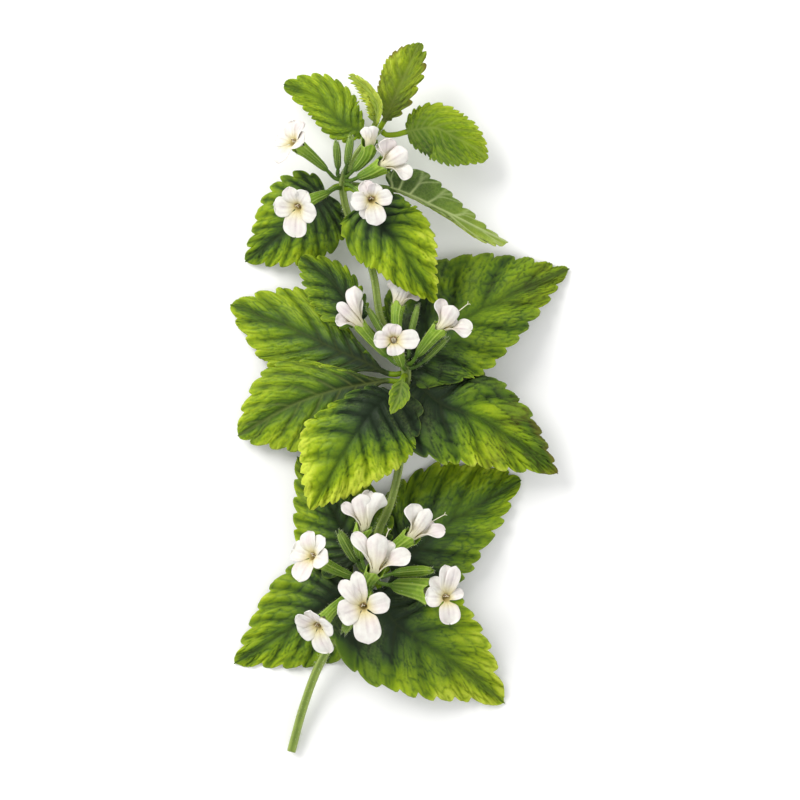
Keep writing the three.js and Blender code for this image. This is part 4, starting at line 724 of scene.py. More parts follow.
def leaf_piece(d, seed):
    lf = Leaf(d)
    L = lf.L
    wmax = max(d['wl'], d['wr'])
    big = L > 20
    step = 0.27 if big else 0.17
    ns = int(np.clip(L*1.3/step, 110, 158))
    nt = int(np.clip(wmax/(step*1.15), 16, 36))
    s = np.linspace(0, 1, ns+1)
    s = s*0.85+0.15*(3*s*s-2*s**3)
    tt = np.linspace(0, 1, nt+1)
    tt = tt+0.10*np.sin(2*np.pi*tt)/(2*np.pi)
    rng = np.random.RandomState(seed)
    size = min(1.0, 0.22+0.78*L/28.0)
    nveins = d.get('veins', 9 if big else 6)
    vk0 = 0.075+0.85*np.linspace(0, 1, nveins)**0.96
    pitches = d.get('pitch', (3.1, 3.1) if big else (1.5, 1.5))
    depths = d.get('tooth', (0.95, 0.95) if big else (0.45, 0.45))
    crest_at = d.get('crest', 0.74)
    narrow = d.get('narrow', 1.0)
    names = 'x y vein crease bul cell h edge along gap wr net'.split()
    keep = {k: [] for k in names}
    for side in (-1, 1):
        half = narrow if side == d.get('narrowside', -1) else 1.0
        swell = d.get('swell', 0.0)*(side > 0)
        squeeze = lambda sv: (half+(1-half)*smooth(0.34, 0.66, sv))*(1+swell*np.exp(-((sv-0.20)/0.14)**2))
        fs = np.linspace(0, 1, 1201)
        fx, fy = lf.flat(fs, np.ones_like(fs), side)
        fy = fy*squeeze(fs)
        farc = np.r_[0, np.cumsum(np.hypot(np.diff(fx), np.diff(fy)))]
        pitch = pitches[0 if side < 0 else 1]; dep = depths[0 if side < 0 else 1]
        vk = vk0+(0.020 if side > 0 else -0.012)+rng.uniform(-0.008, 0.008, nveins)
        # teeth: a lateral vein ends in the crest of a tooth, and the gaps hold whole teeth
        arcv = np.interp(vk, fs, farc)
        marks, count, prev = [(0.0, 0.0)], 0.0, 0.0
        for k, av in enumerate(arcv):
            n = max(1, int(round((av-prev)/pitch)))
            count += n-(1-crest_at if k == 0 else 0)
            marks.append((av, count)); prev = av
        n = max(1, int(round((farc[-1]-prev)/(pitch*0.62))))
        marks.append((farc[-1], math.floor(count)+n+0.0 if n > 1 else math.floor(count)+0.999))
        ma = np.array(marks)
        ma[-1, 1] = max(ma[-1, 1], ma[-2, 1]+0.15)
        jit = 0.22*(vnoise(farc/pitch*0.9, farc*0+seed, seed+2)-0.5)*smooth(0.0, 0.1, fs)*smooth(1.0, 0.9, fs)
        fph = np.maximum.accumulate(np.interp(farc, ma[:, 0], ma[:, 1])+jit)+np.linspace(0, 1e-4, 1201)
        # rows of the grid meet every notch and every crest on the margin
        rph = np.interp(s, fs, fph)
        keys, used = [(0, rph[0])], 0
        last = int(fph[-1]+1e-3)
        for m in range(last+1):
            for tgt in (m, m+crest_at):
                if tgt <= rph[0]+0.05 or tgt >= rph[-1]-0.05: continue
                i = int(np.argmin(np.abs(rph-tgt)))
                if i > used and i < ns:
                    keys.append((i, tgt)); used = i
        keys.append((ns, rph[-1]))
        ka = np.array(keys)
        sm = np.interp(np.interp(np.arange(ns+1), ka[:, 0], ka[:, 1]), fph, fs)
        S, T = np.meshgrid(s, tt, indexing='ij')
        S = S+(sm-s)[:, None]*T**1.5
        x, y = lf.flat(S, T, side)
        y = y*squeeze(S)
        mx, my = x[:, -1].copy(), y[:, -1].copy()
        ph = np.interp(sm, fs, fph)
        fr = ph-np.floor(ph+1e-6)
        amp = rng.uniform(0.75, 1.22, last+4)[np.clip(np.floor(ph+1e-6).astype(int), 0, last+2)]
        fr = np.clip(fr, 0, 1)
        prof = np.where(fr <= crest_at, 1-(1-fr/crest_at)**d.get('convex', 2.1), (1-np.clip((fr-crest_at)/(1-crest_at), 0, 1)**2)**0.7)
        tx, ty = np.gradient(mx), np.gradient(my)
        tl = np.maximum(np.hypot(tx, ty), 1e-9); tx, ty = tx/tl, ty/tl
        out_x, out_y = -ty, tx
        flipo = np.where(out_x*(mx-0.45*L)*0.25+out_y*my >= 0, 1.0, -1.0)
        out_x, out_y = out_x*flipo, out_y*flipo
        depth = dep*amp*smooth(d.get('bare', 0.10)*0.3, d.get('bare', 0.10)+0.06, sm)*(1-0.35*smooth(0.85, 1.0, sm))
        off = depth*(prof-0.62)
        fwd = depth*d.get('forward', 0.35)*prof
        g = smooth(0.70, 1.0, T)**1.2
        endf = 1-smooth(0.975, 1.0, sm)*0.9
        x = x + g*((off*out_x+fwd*tx)*endf)[:, None]
        y = y + g*((off*out_y+fwd*ty)*endf)[:, None]
        least = np.where(S < 0.5, 0.5, 0.10)
        y = np.maximum(y, T*least)
        du = np.gradient(np.stack([x, y], -1), s, axis=0, edge_order=1)
        dv = np.gradient(np.stack([x, y], -1), tt, axis=1, edge_order=1)
        gp = np.abs(du[..., 0]*dv[..., 1]-du[..., 1]*dv[..., 0])/np.maximum(np.hypot(dv[..., 0], dv[..., 1]), 1e-6)
        gp = np.clip(gp, 3.0, L*1.4)
        wob = (vnoise(T*3.2+seed, S*3, seed+5)-0.5)*0.030
        acr = np.r_[0, np.cumsum(np.hypot(np.diff(x[:, nt//2]), np.diff(y[:, nt//2])))][:, None]
        alo = np.concatenate([np.zeros((ns+1, 1)), np.cumsum(np.hypot(np.diff(x, axis=1), np.diff(y, axis=1)), 1)], 1)
        wr = vnoise(acr/0.80+side*31, alo/2.6+seed, seed+61)*0.65+vnoise(acr/0.42+side*13, alo/1.3+seed, seed+67)*0.35
        Sw = S+wob*T
        dl = np.min(np.abs(Sw[..., None]-vk), -1)*gp
        full = np.r_[-0.02, vk, 1.02]
        ki = np.clip(np.searchsorted(full, Sw)-1, 0, len(full)-2)
        w = np.clip((Sw-full[ki])/(full[ki+1]-full[ki]), 0, 1)
        gapmm = (full[ki+1]-full[ki])*gp
        crest = np.sin(np.pi*np.clip(w, 0, 1)**0.85)
        db = np.full(S.shape, 9.0)
        for k in range(nveins):
            gap = (vk[k+1]-vk[k]) if k+1 < nveins else (1-vk[k])*0.8
            gap0 = (vk[k]-vk[k-1]) if k else vk[k]*0.9
            q = np.clip((T-0.45)/0.55, 0, 1)**1.15
            db = np.minimum(db, np.where(T > 0.45, np.abs(Sw-(vk[k]+gap*0.46*q))*gp, 9))
            q = np.clip((T-0.6)/0.4, 0, 1)**1.15
            db = np.minimum(db, np.where(T > 0.6, np.abs(Sw-(vk[k]-gap0*0.26*q))*gp, 9))
        dm = np.abs(y)
        c = d.get('cellmm', 1.55)*(0.60 if not big else 1.0)
        wx = (vnoise(x/2.3+7, y/2.3, seed+9)-0.5)*1.1; wy = (vnoise(x/2.3, y/2.3+5, seed+11)-0.5)*1.1
        # network drawn out along the laterals
        lx, ly = dv[..., 0], dv[..., 1]
        u1 = (Sw*gp.mean(1, keepdims=True))/c+wx/c
        u2 = (T*np.hypot(np.gradient(x, axis=1), np.gradient(y, axis=1)).sum(1, keepdims=True))/(c*1.55)+wy/c
        f1, fe = cells(u1, u2*side+17, seed+3)
        fe = fe*c
        lat = np.exp(-(dl/0.26)**2)*(1-0.45*T)
        sub = np.exp(-(db/0.22)**2)*0.7
        midv = np.exp(-(dm/0.34)**2)
        vein = np.maximum(np.maximum(lat, sub), midv)
        nearmid = 1-np.exp(-np.maximum(dm-0.15, 0)/1.1)
        bul = crest**0.75*nearmid
        bsub = (1-np.exp(-db/0.6))
        cellb = 1-np.exp(-fe/0.36)
        rel = d.get('relief', 1.0)
        und = (vnoise(x/5.5+3, y/5.5+seed, seed+21)-0.5)
        n2 = (vnoise(x/1.9+3, y/1.9+seed, seed+23)-0.5)
        amp_p = np.clip(0.17*gapmm, 0.08, 0.75)*(1-0.30*T**2)
        h = rel*(amp_p*(bul-0.55) + 0.22*size*(bsub-0.8)*smooth(0.45, 0.75, T) + (0.07+0.13*smooth(0.1, 0.7, T))*d.get('quilt', 1.5)*size*(cellb-0.6)*smooth(0.0, 0.12, T) + 0.34*d.get('crumple', 1.2)*size*(wr-0.5)*smooth(0.0, 0.3, T)
                 - 0.10*midv*size + size*0.50*und*smooth(0.1, 0.6, T) + 0.22*size*n2*smooth(0.15, 0.5, T))
        h = h*smooth(0.0, 0.07, S)*(1-0.7*smooth(0.93, 1.0, S))
        net = np.exp(-fe/0.17)*smooth(0.08, 0.55, T)
        # painted shade mask: strongest in the lateral and side vein furrows and along the midrib groove
        crease = np.exp(-dl/(0.18+0.06*gapmm))*(1-0.48*T) + np.exp(-db/0.26)*0.42 + 0.75*np.exp(-dm/0.45)
        for k, v in zip(names, (x, side*y, vein, crease, bul, cellb, h, T+0*S, S+0*T, gapmm, wr, net)): keep[k].append(v)
    join = lambda A: np.concatenate([A[0][:, ::-1][:, :-1], A[1]], 1)
    x, y, vein, crease, bul, cell, h, edge, along, gap, wr, net = [join(keep[k]) for k in names]
    # petiole rows
    npet = max(4, int(round(lf.base/0.55)))
    px = -lf.base + lf.base*np.arange(npet)/npet
    o = np.concatenate([-tt[::-1][:-1], tt])
    PX = np.repeat(px[:, None], len(o), 1); PY = np.repeat((o*d.get('petw', 0.5))[None], npet, 0)
    z = np.zeros_like(PX)
    x = np.concatenate([PX, x]); y = np.concatenate([PY, y])
    cat = lambda v, a: np.concatenate([z+v, a])
    wr, net = cat(0.5, wr), cat(0.0, net)
    h, vein, crease, bul, cell, edge, along = cat(0, h), cat(0.3, vein), cat(0.1, crease), cat(0.5, bul), cat(0.5, cell), cat(0, edge), cat(0, along)
    q = np.repeat(np.abs(o)[None], len(x), 0)
    fade = np.clip(1-np.maximum(x, 0)/(0.16*L), 0, 1)
    fade[:npet] = 1
    fade = fade**1.5
    pet_half = 0.42*np.sqrt(np.clip(1-0.96*q*q, 0.0, 1))
    blade = (0.150-0.08*smooth(0.8, 1.0, q))
    nearc = np.exp(-(np.abs(y)/0.75)**2)
    half_top = blade*(1-fade*nearc) + pet_half*fade*nearc
    rib = np.exp(-(y/0.42)**2)*0.40*(1-0.75*np.clip(x/L, 0, 1))
    rib[:npet] = 0
    half_bot = half_top + rib + 0.16*np.clip(vein-0.25, 0, 1)*(along > 0)*size
    P, N = lf.lift(x, y)
    top = P + N*(h+half_top)[..., None]
    bot = P + N*(h-half_bot)[..., None]
    lift = np.maximum(0, 0.04-np.minimum(top[..., 2], bot[..., 2]))
    top[..., 2] += lift; bot[..., 2] += lift
    tn = d['tone']
    u = np.clip(x/L, 0, 1)
    n8 = vnoise(x/6.0+seed*1.7, y/6.0, seed+41); n3 = vnoise(x/2.2, y/2.2+seed, seed+43)
    em = smooth(0.30, 1.0, edge)
    mott = d.get('mott', 0.5)
    # the last term is painted shade: darker towards the borders of the quilted cells
    tone = tn[0] + tn[1]*u + tn[2]*em + tn[3]*y/wmax + mott*(0.40*(n8-0.5) + 0.26*(n3-0.5) + 0.24*(wr-0.5)*smooth(0.05, 0.4, edge)) + 0.18*(cell-0.62)*smooth(0.1, 0.6, edge)
    # the pleat term is painted light and shade: lighter on the bulges between the laterals, darker in the furrows
    tone = tone + d.get('pleat_shade', 0.34)*(bul-0.55)*(1-0.3*edge) + 0.10*smooth(0.93, 1.0, edge)
    # darker green towards the leaf base: partly the leaf's own colour, partly painted shade by the stem node
    tone = tone - d.get('basal', 0.26)*np.exp(-(np.hypot(x/L, y/wmax*d.get('basy', 0.40))/d.get('basr', 0.34))**2)
    tone = tone - d.get('lobe', 0.0)*np.exp(-(u/0.22)**2)*smooth(0.2, 0.8, edge)
    if d.get('half'):
        hs, hm, hb = d['half']
        on = smooth(0.0, 0.8, y*hs)
        tone = tone + on*(hm*em + hb*np.exp(-((np.abs(y)-1.9)/1.5)**2)*smooth(0.12, 0.35, u)*smooth(0.85, 0.60, u))
    tone[:npet] = tn[0]*0.4+0.42
    # painted shade in the furrows between the quilted cells, only where the tone is not already dark
    crease = np.clip(crease+d.get('net', 0.14)*net*smooth(0.10, 0.45, tone), 0, 1)
    brown = d.get('brown', 0.0)*smooth(0.80, 1.0, edge)*smooth(0.35, 0.75, vnoise(x/3.0, y/3.0, seed+53)) if d.get('brown') else 0*x
    if d.get('brownside'): brown = brown*smooth(0.0, 1.0, y*d['brownside'])
    brown = brown+d.get('browntip', 0.0)*(smooth(0.80, 1.0, u)*smooth(0.3, 0.7, n3)+0.6*smooth(0.42, 0.78, u)*smooth(0.05, 0.4, edge)*smooth(0.75, 0.2, cell)*smooth(0.25, 0.6, n8)+0.45*smooth(0.48, 0.80, u)*smooth(0.38, 0.62, n8))
    brown = np.maximum(brown, d.get('olive', 0.0)*(0.6+0.8*n8))
    brown[:npet] = 0
    bld = Build('fx', 'fy', 'fz', 'vein', 'crease', 'cell', 'tone', 'edge', 'brown', 'bul')
    # lines sets how strong the painted crease shade is on each leaf
    vals = dict(fx=x, fy=y, fz=np.full(x.shape, float(seed)*3.7), vein=vein*d.get('veinlight', 0.06), crease=crease*(1-0.8*vein*d.get('veinlight', 0.06))*d.get('lines', 1.0), cell=cell,
                tone=tone, edge=edge, brown=brown, bul=bul)
    a = bld.add(top, **vals)
    vals['vein'] = vein
    b = bld.add(bot, **vals)
    R, C = x.shape
    ti = a+np.arange(R*C).reshape(R, C); bi = b+np.arange(R*C).reshape(R, C)
    bld.grid(ti, 0); bld.grid(bi, 1, flip=True)
    bld.grid(np.stack([bi[:, 0], ti[:, 0]], 1), 0)
    bld.grid(np.stack([ti[:, -1], bi[:, -1]], 1), 0)
    bld.grid(np.stack([bi[0], ti[0]], 0), 0)
    bld.grid(np.stack([ti[-1], bi[-1]], 0), 0)
    return bld.make('v_'+d['name'], [MAT['leaf_top'], MAT['leaf_under']], d['name'])


# ------------------------------------------------------------------------ stem
STEM_CURVE = Curve(STEM, 400)
NODES_AT = [(-9.879, 40.379, 8.783), (1.232, 5.316, 9.583), (-5.441, -32.448, 7.783)]


def stem_piece():
    c = STEM_CURVE
    n = int(c.L/0.45)
    s = np.linspace(0, c.L, n+1)
    t, a, b2 = c.frames(s, [1, 0, 0])
    sides = 48
    w = np.linspace(0, 2*np.pi, sides, endpoint=False)
    # square with rounded corners and a shallow groove on each face
    base = 1.0/np.power(np.abs(np.cos(w))**5+np.abs(np.sin(w))**5, 1/5.0)
    groove = 0.13*np.exp(-((np.mod(w+np.pi/4, np.pi/2)-np.pi/4)/0.26)**2)
    prof = base-groove
    corner = (prof-prof.min())/(prof.max()-prof.min())
    hw = 0.81*(1-(1-0.80)*s/c.L)
    node = np.zeros_like(s)
    for k in NODES_AT:
        at = c.s[np.argmin(np.linalg.norm(c.p-np.array(k), axis=1))]
        node = np.maximum(node, np.exp(-((s-at)/1.7)**2))
    hw = hw*(1+0.30*node)
    rag = 1+0.03*(vnoise(s[:, None]/2.2, w[None]*2/np.pi*1.0, 3)-0.5)
    rr = hw[:, None]*prof[None]*0.97*rag
    P = c.at(s)[:, None] + rr[..., None]*(a[:, None]*np.cos(w)[None, :, None]+b2[:, None]*np.sin(w)[None, :, None])
    bld = Build('rib', 'node', 'along', 'cut', 'fx', 'fy')
    full = lambda v: np.broadcast_to(v, (n+1, sides))
    first = bld.add(P, rib=full(corner[None]**2), node=full(node[:, None]), along=full((s/c.L)[:, None]), cut=0.0,
                    fx=full((s/9.0)[:, None]), fy=full((w*2.2)[None]))
    ids = first+np.arange((n+1)*sides).reshape(n+1, sides)
    bld.grid(ids, 0, wrap=True)
    # cut face: rim, pith
    prev = ids[0]
    for k, (f, back) in enumerate(((0.90, 0.06), (0.72, 0.05), (0.45, -0.05), (0.2, -0.10))):
        o = c.at(0.0)
        Pk = o + (P[0]-o)*f + t[0]*(-back)
        i = bld.add(Pk, rib=0.0, node=0.0, along=0.0, cut=0.5+0.5*(k > 0), fx=0.0, fy=np.linspace(0, 3, sides))
        r = i+np.arange(sides)
        bld.grid(np.stack([r, prev]), 0, wrap=True)
        prev = r
    bld.fan(prev, 0, flip=True)
    bld.fan(ids[-1], 0)
    o = bld.make('v_stem', [MAT['stem']], 'stem')
    # fine hairs on the angles
    rng = np.random.RandomState(5)
    N = 2600
    i = rng.randint(1, n, N); j = rng.choice(sides, N, p=(0.3+corner)/np.sum(0.3+corner))
    base_p = P[i, j]
    out = unit(base_p-c.at(s[i]))
    d = unit(out + t[i]*rng.uniform(-0.5, 0.3, (N, 1)) + rng.normal(0, 0.25, (N, 3)))
    hb = Build('tint')
    hairs(hb, base_p-out*0.05, d, rng.uniform(0.30, 0.75, N), 0.016, tint=0.5)
    hb.make('hairs_stem', [MAT['hair']], None)
    return o


# ---------------------------------------------------------------------- calyces
CALYX_U = [0, 0.05, 0.14, 0.35, 0.6, 0.85, 1.0]
CALYX_R = [0.36, 0.62, 0.84, 1.06, 1.26, 1.46, 1.64]
SPENT_R = [0.34, 0.58, 0.78, 0.94, 1.00, 0.86, 0.60]


def calyx_geometry(pts, ref, seed, spent=False, side=False, slim=1.0, back=0.0):
    near = STEM_CURVE.p[np.argmin(np.linalg.norm(STEM_CURVE.p-np.array(pts[0]), axis=1))]
    start = near + 0.45*(np.array(pts[0])-near)
    c = Curve([list(start)]+[list(p) for p in pts])
    base = c.knots[2]
    mouth = c.knots[3] if spent else c.L-(0.30 if side else 1.25)-back
    body = mouth-base
    cols = 78
    w = np.linspace(0, 2*np.pi, cols, endpoint=False)
    rng = np.random.RandomState(seed)
    main = np.clip(np.cos(5*w+rng.uniform(0, 6)), 0, 1)**0.6
    ribs = (0.5+0.5*np.cos(13*w))**1.4*(0.45+0.55*main)
    # teeth: three short above, two long below
    tooth = np.zeros(cols)
    for ang, wd, ht in ((0, 0.46, 0.66), (0.78, 0.44, 0.62), (-0.78, 0.44, 0.62), (2.15, 0.92, 1.15), (-2.15, 0.92, 1.15)):
        dd = np.abs((w-ang+np.pi) % (2*np.pi)-np.pi)
        tooth = np.maximum(tooth, ht*rng.uniform(0.92, 1.08)*smooth(0, 1, 1-dd/wd))
    tooth = (tooth-0.40)*(0.60 if spent else 0.9)
    big = slim*(1.0 if spent or side else 0.80)
    radius = lambda u: float(hermite(CALYX_U, SPENT_R if spent else CALYX_R, u))*big
    rows = []
    for k in range(9):
        u = k/9.0
        rows.append((base*u, 0.34+0.10*(1-u)**3, 0.0, 0.0, u*0.2))
    for k in range(23):
        u = k/22.0
        rows.append((base+body*u, radius(u), min(1, u*5)*1.0, u, 0.2+0.8*u))
    P, RB, AL, IN = [], [], [], []
    t, a, b2 = c.frames(np.array([r[0] for r in rows]), ref)
    flut = 1+0.06*(vnoise(w*1.2, w*0+seed, seed)-0.5)
    for k, (at, r, rb, u, al) in enumerate(rows):
        rr = r*flut*(1+0.11*rb*ribs) - 0.05*rb
        z = tooth*smooth(0.74, 1.0, u)
        flare = 1+(-0.75 if spent else 0.08)*smooth(0.8, 1.0, u)*np.clip(tooth, 0, 1)
        p = c.at(at) + rr[:, None]*flare[:, None]*(a[k]*np.cos(w)[:, None]+b2[k]*np.sin(w)[:, None]) + z[:, None]*t[k]
        P.append(p); RB.append(ribs*rb); AL.append(np.full(cols, al)+0.12*np.clip(tooth, 0, 1)*u); IN.append(np.zeros(cols))
    for u, wall in [(1.0, 0.10), (0.95, 0.13), (0.8, 0.15), (0.55, 0.17), (0.3, 0.20), (0.16, 0.28)]:
        at = base+body*u
        r = radius(u)-wall
        tk, ak, bk = c.frames(np.array([at]), ref)
        z = tooth*smooth(0.74, 1.0, u) - 0.02
        flare = 1+(-0.75 if spent else 0.08)*smooth(0.8, 1.0, u)*np.clip(tooth, 0, 1)
        p = c.at(at) + (r*flut*flare*(1+0.03*ribs))[:, None]*(ak[0]*np.cos(w)[:, None]+bk[0]*np.sin(w)[:, None]) + z[:, None]*tk[0]
        P.append(p); RB.append(ribs*0.3); AL.append(np.full(cols, u)); IN.append(np.full(cols, float(1-smooth(0.6, 1.02, u))))
    return c, base, mouth, np.array(P), np.array(RB), np.array(AL), np.array(IN), w, tooth, rng


def calyx_piece(name, node, pts, ref, seed, spent=False, side=False, fresh=False, slim=1.0, back=0.0):
    c, base, mouth, P, RB, AL, IN, w, tooth, rng = calyx_geometry(pts, ref, seed, spent, side, slim, back)
    bld = Build('rib', 'along', 'inner', 'tint')
    R, C = P.shape[:2]
    first = bld.add(P, rib=RB, along=AL, inner=IN, tint=0.0)
    ids = first+np.arange(R*C).reshape(R, C)
    bld.grid(ids, 0, wrap=True)
    bld.fan(ids[0], 0, flip=True); bld.fan(ids[-1], 0)
    # hairs on ribs, rim and pedicel
    outer = 32
    N = 260
    i = rng.randint(2, outer, N); j = rng.randint(0, C, N)
    keep = (RB[i, j] > 0.3) | (rng.rand(N) < 0.35)
    i, j = i[keep], j[keep]
    i = np.r_[i, np.full(C//2, outer-1)]; j = np.r_[j, np.arange(0, C, 2)[:C//2]]
    bp = P[i, j]
    axis = c.at(np.interp(i, [0, 9, 31], [0, base, mouth]))
    out = unit(bp-axis)
    tn = c.tan(np.interp(i, [0, 9, 31], [0, base, mouth]))
    n = len(i)
    d = unit(out + tn*rng.uniform(0.1, 0.9, (n, 1)) + rng.normal(0, 0.22, (n, 3)))
    hairs(bld, bp-out*0.04, d, rng.uniform(0.20, 0.55, n), 0.014, 1, tint=0.5)
    return bld.make(name, [MAT['calyx_spent' if spent and not fresh else 'calyx'], MAT['hair']], node)


# --------------------------------------------------------------------- corollas
LOBE_V = [0, .15, .32, .52, .70, .84, .93, 1]
LOBE_W = [0.0, .40, .70, .93, 1.0, .95, .82, .55]
LOBE_F = [0.0, .58, .84, .97, 1.0, .94, .80, .54]


def solidify(bld, V, Q, half, m, **vals):
    """thin closed body about a quad sheet."""
    V = np.asarray(V, float); Q = np.asarray(Q, int)
    fn = np.cross(V[Q[:, 2]]-V[Q[:, 0]], V[Q[:, 3]]-V[Q[:, 1]])
    N = np.zeros_like(V)
    for k in range(4): np.add.at(N, Q[:, k], fn)
    N = unit(N)
    half = np.broadcast_to(half, (len(V),))
    a = bld.add(V+N*half[:, None], inner=1.0, **vals)
    b = bld.add(V-N*half[:, None], inner=0.0, **vals)
    bld.quads(Q+a, m); bld.quads(Q[:, ::-1]+b, m)
    E = np.concatenate([Q[:, [0, 1]], Q[:, [1, 2]], Q[:, [2, 3]], Q[:, [3, 0]]])
    key = np.sort(E, 1); key = key[:, 0]*(len(V)+1)+key[:, 1]
    u, inv, cnt = np.unique(key, return_inverse=True, return_counts=True)
    B = E[cnt[inv] == 1]
    bld.quads(np.stack([B[:, 1]+a, B[:, 0]+a, B[:, 0]+b, B[:, 1]+b], 1), m)


def corolla_piece(fl, seed):
    rng = np.random.RandomState(seed)
    pts = [np.array(p) for p in fl['pts']]
    O, f = pts[3], unit(fl['f'])
    up = unit(np.array(fl['up'])-(np.array(fl['up']) @ f)*f)
    e2 = np.cross(f, up)
    lobes = []
    if fl.get('lobes'):
        for lb in fl['lobes']:
            lobes.append(dict(T=np.array(lb[:3]), W=lb[3], turn=lb[4], low=lb[5], near=lb[6]))
    else:
        R = fl['R']
        for ang, ln, wd, rise, low in ((-27, 0.95, 0.33, 0.30, 0), (27, 0.95, 0.33, 0.30, 0), (92, 0.98, 0.38, 0.22, 0), (180, 1.2, 0.46, 0.16, 1), (-92, 0.98, 0.38, 0.22, 0)):
            ang += rng.uniform(-5, 5); ln *= rng.uniform(0.93, 1.05)
            q = math.radians(ang)
            T = O + (up*math.cos(q)+e2*math.sin(q))*R*ln + f*R*rise*rng.uniform(0.8, 1.2)
            lobes.append(dict(T=T, W=R*wd*1.12, turn=0.0, low=low, near=1))
    side = bool(fl.get('side'))
    Rm = 0.92 if side else 0.66
    for lb in lobes:
        g = lb['T']-O
        d0 = g-(g @ f)*f
        lb['d0'] = unit(d0)
    if side:
        # the open side of the mouth carries the near lobes, side by side
        zc = unit(np.array([0, 0, 1.0])-f[2]*f)
        el = np.cross(f, zc)
        near = sorted([q for q in lobes if q['near']], key=lambda q: (q['T']-O) @ el)
        far = sorted([q for q in lobes if not q['near']], key=lambda q: (q['T']-O) @ el)
        spread = {1: [0], 2: [-38, 38], 3: [-66, 0, 66], 4: [-84, -28, 28, 84]}[len(near)]
        for q, w in zip(near, spread):
            q['d0'] = zc*math.cos(math.radians(w))+el*math.sin(math.radians(w))
        for q, w in zip(far, {0: [], 1: [180], 2: [-140, 140]}[len(far)]):
            q['d0'] = zc*math.cos(math.radians(w))+el*math.sin(math.radians(w))
    for lb in lobes:
        lb['ang'] = math.atan2(lb['d0'] @ e2, lb['d0'] @ up) % (2*math.pi)
    lobes.sort(key=lambda q: q['ang'])
    n = len(lobes)
    angs = [q['ang'] for q in lobes]
    # keep every lobe a fair share of the mouth
    bounds = []
    for k in range(n):
        nxt = angs[(k+1) % n]+(2*math.pi if k == n-1 else 0)
        bounds.append((angs[k]+nxt)/2)
    even = [angs[0]-math.pi/n+2*math.pi*(k+1)/n for k in range(n)]
    bounds = [0.6*a+0.4*b for a, b in zip(bounds, even)]
    nc = 14
    ring = []
    for k in range(n):
        lo = bounds[k-1]-(2*math.pi if k == 0 else 0); hi = bounds[k]
        ring.append(lo+(hi-lo)*np.arange(nc)/nc)
    ring = np.concatenate(ring)
    cols = len(ring)
    # tube
    c = Curve(pts)
    base = c.knots[1]
    start = base+1.0
    V, VAL = [], {'thr': [], 'lip': [], 'crease': [], 'edge': []}
    nt = 9
    at = start+(c.L-0.15-start)*(np.arange(nt)/nt)
    t = c.tan(at)
    for k in range(nt):
        q = k/nt
        ax = unit(t[k]*(1-q**3)+f*q**3)
        a = unit(up-(up @ ax)*ax); b2 = np.cross(ax, a)
        r = 0.42+(Rm*0.92-0.42)*q**1.6
        V.append(c.at(at[k])+r*(a[None]*np.cos(ring)[:, None]+b2[None]*np.sin(ring)[:, None]))
        VAL['thr'].append(np.full(cols, min(1, 0.55+0.5*q))); VAL['lip'].append(np.zeros(cols))
        # crease values on the tube, and at the mouth ring below: painted shade in the folds between the lobes
        VAL['crease'].append(0.25+0.2*np.cos(ring*5)); VAL['edge'].append(np.zeros(cols))
    mouth = O+Rm*(up[None]*np.cos(ring)[:, None]+e2[None]*np.sin(ring)[:, None])
    V.append(mouth)
    lipring = np.concatenate([np.full(nc, float(q['low'])) for q in lobes])
    VAL['thr'].append(np.full(cols, 0.92)); VAL['lip'].append(lipring); VAL['crease'].append(0.3+0.2*np.cos(ring*5)); VAL['edge'].append(np.zeros(cols))
    ids = np.arange((nt+1)*cols).reshape(nt+1, cols)
    Q = []
    wrapped = np.concatenate([ids, ids[:, :1]], 1)
    A, B2, C2, D = wrapped[:-1, :-1], wrapped[:-1, 1:], wrapped[1:, 1:], wrapped[1:, :-1]
    # faces look inwards and, on the lobes, along f
    Q.append(np.stack([A, D, C2, B2], -1).reshape(-1, 4))
    count = (nt+1)*cols
    HALF = [np.full(count, 0.085)]
    nv = 18
    v = 1-(1-np.arange(1, nv+1)/nv)**1.45
    cc = np.linspace(-1, 1, nc+1)
    zhat = np.array([0, 0, 1.0])
    for k, lb in enumerate(lobes):
        first_ring = ids[nt, :][(np.arange(nc+1)+k*nc) % cols]
        T, W, d0 = lb['T'], lb['W'], lb['d0']
        P0 = O+d0*Rm*0.95
        g = T-P0; Lc = np.linalg.norm(g)
        arch = rng.uniform(0.16, 0.26)
        P1 = P0+g*0.22+f*Lc*arch*1.1
        P2 = P0+g*0.70+f*Lc*arch*0.75
        vv = v[:, None]
        Cn = (1-vv)**3*P0+3*(1-vv)**2*vv*P1+3*(1-vv)*vv*vv*P2+vv**3*T
        tg = unit(3*(1-vv)**2*(P1-P0)+6*(1-vv)*vv*(P2-P1)+3*vv*vv*(T-P2)+1e-9)
        lat0 = np.cross(f, d0)
        gx = T-O
        latv = np.cross(zhat, gx); latv = latv/max(np.linalg.norm(latv), 1e-6)
        if latv @ lat0 < 0: latv = -latv
        kk = lb['turn']*smooth(0.1, 0.8, v)[:, None]
        lat = lat0[None]*(1-kk)+latv[None]*kk
        lat = unit(lat-dots(lat, tg)*tg)
        nrm = np.cross(tg, lat)
        foot = Rm*math.sin(math.pi/n)*(0.9 if side else 1.15)
        hw = foot+(W-foot)*hermite(LOBE_V, LOBE_W if side else LOBE_F, v)
        v0 = rng.uniform(0.60, 0.68)
        hw = np.where(v > v0, W*np.maximum(1-np.clip((v-v0)/(1-v0), 0, 1)**2.2, 0.012)**(1/2.1), np.minimum(hw, W))
        notch = 0.10 if lb['low'] else rng.uniform(0.0, 0.10)
        back = 0.16*hw.max()*np.abs(cc)[None]**2.6*(v[:, None]**2.5) + notch*np.exp(-(cc/0.45)**2)[None]*v[:, None]**7
        ph, am = rng.uniform(0, 6.28), rng.uniform(0.10, 0.2)
        cup = rng.uniform(0.30, 0.46) if side else rng.uniform(0.08, 0.22)
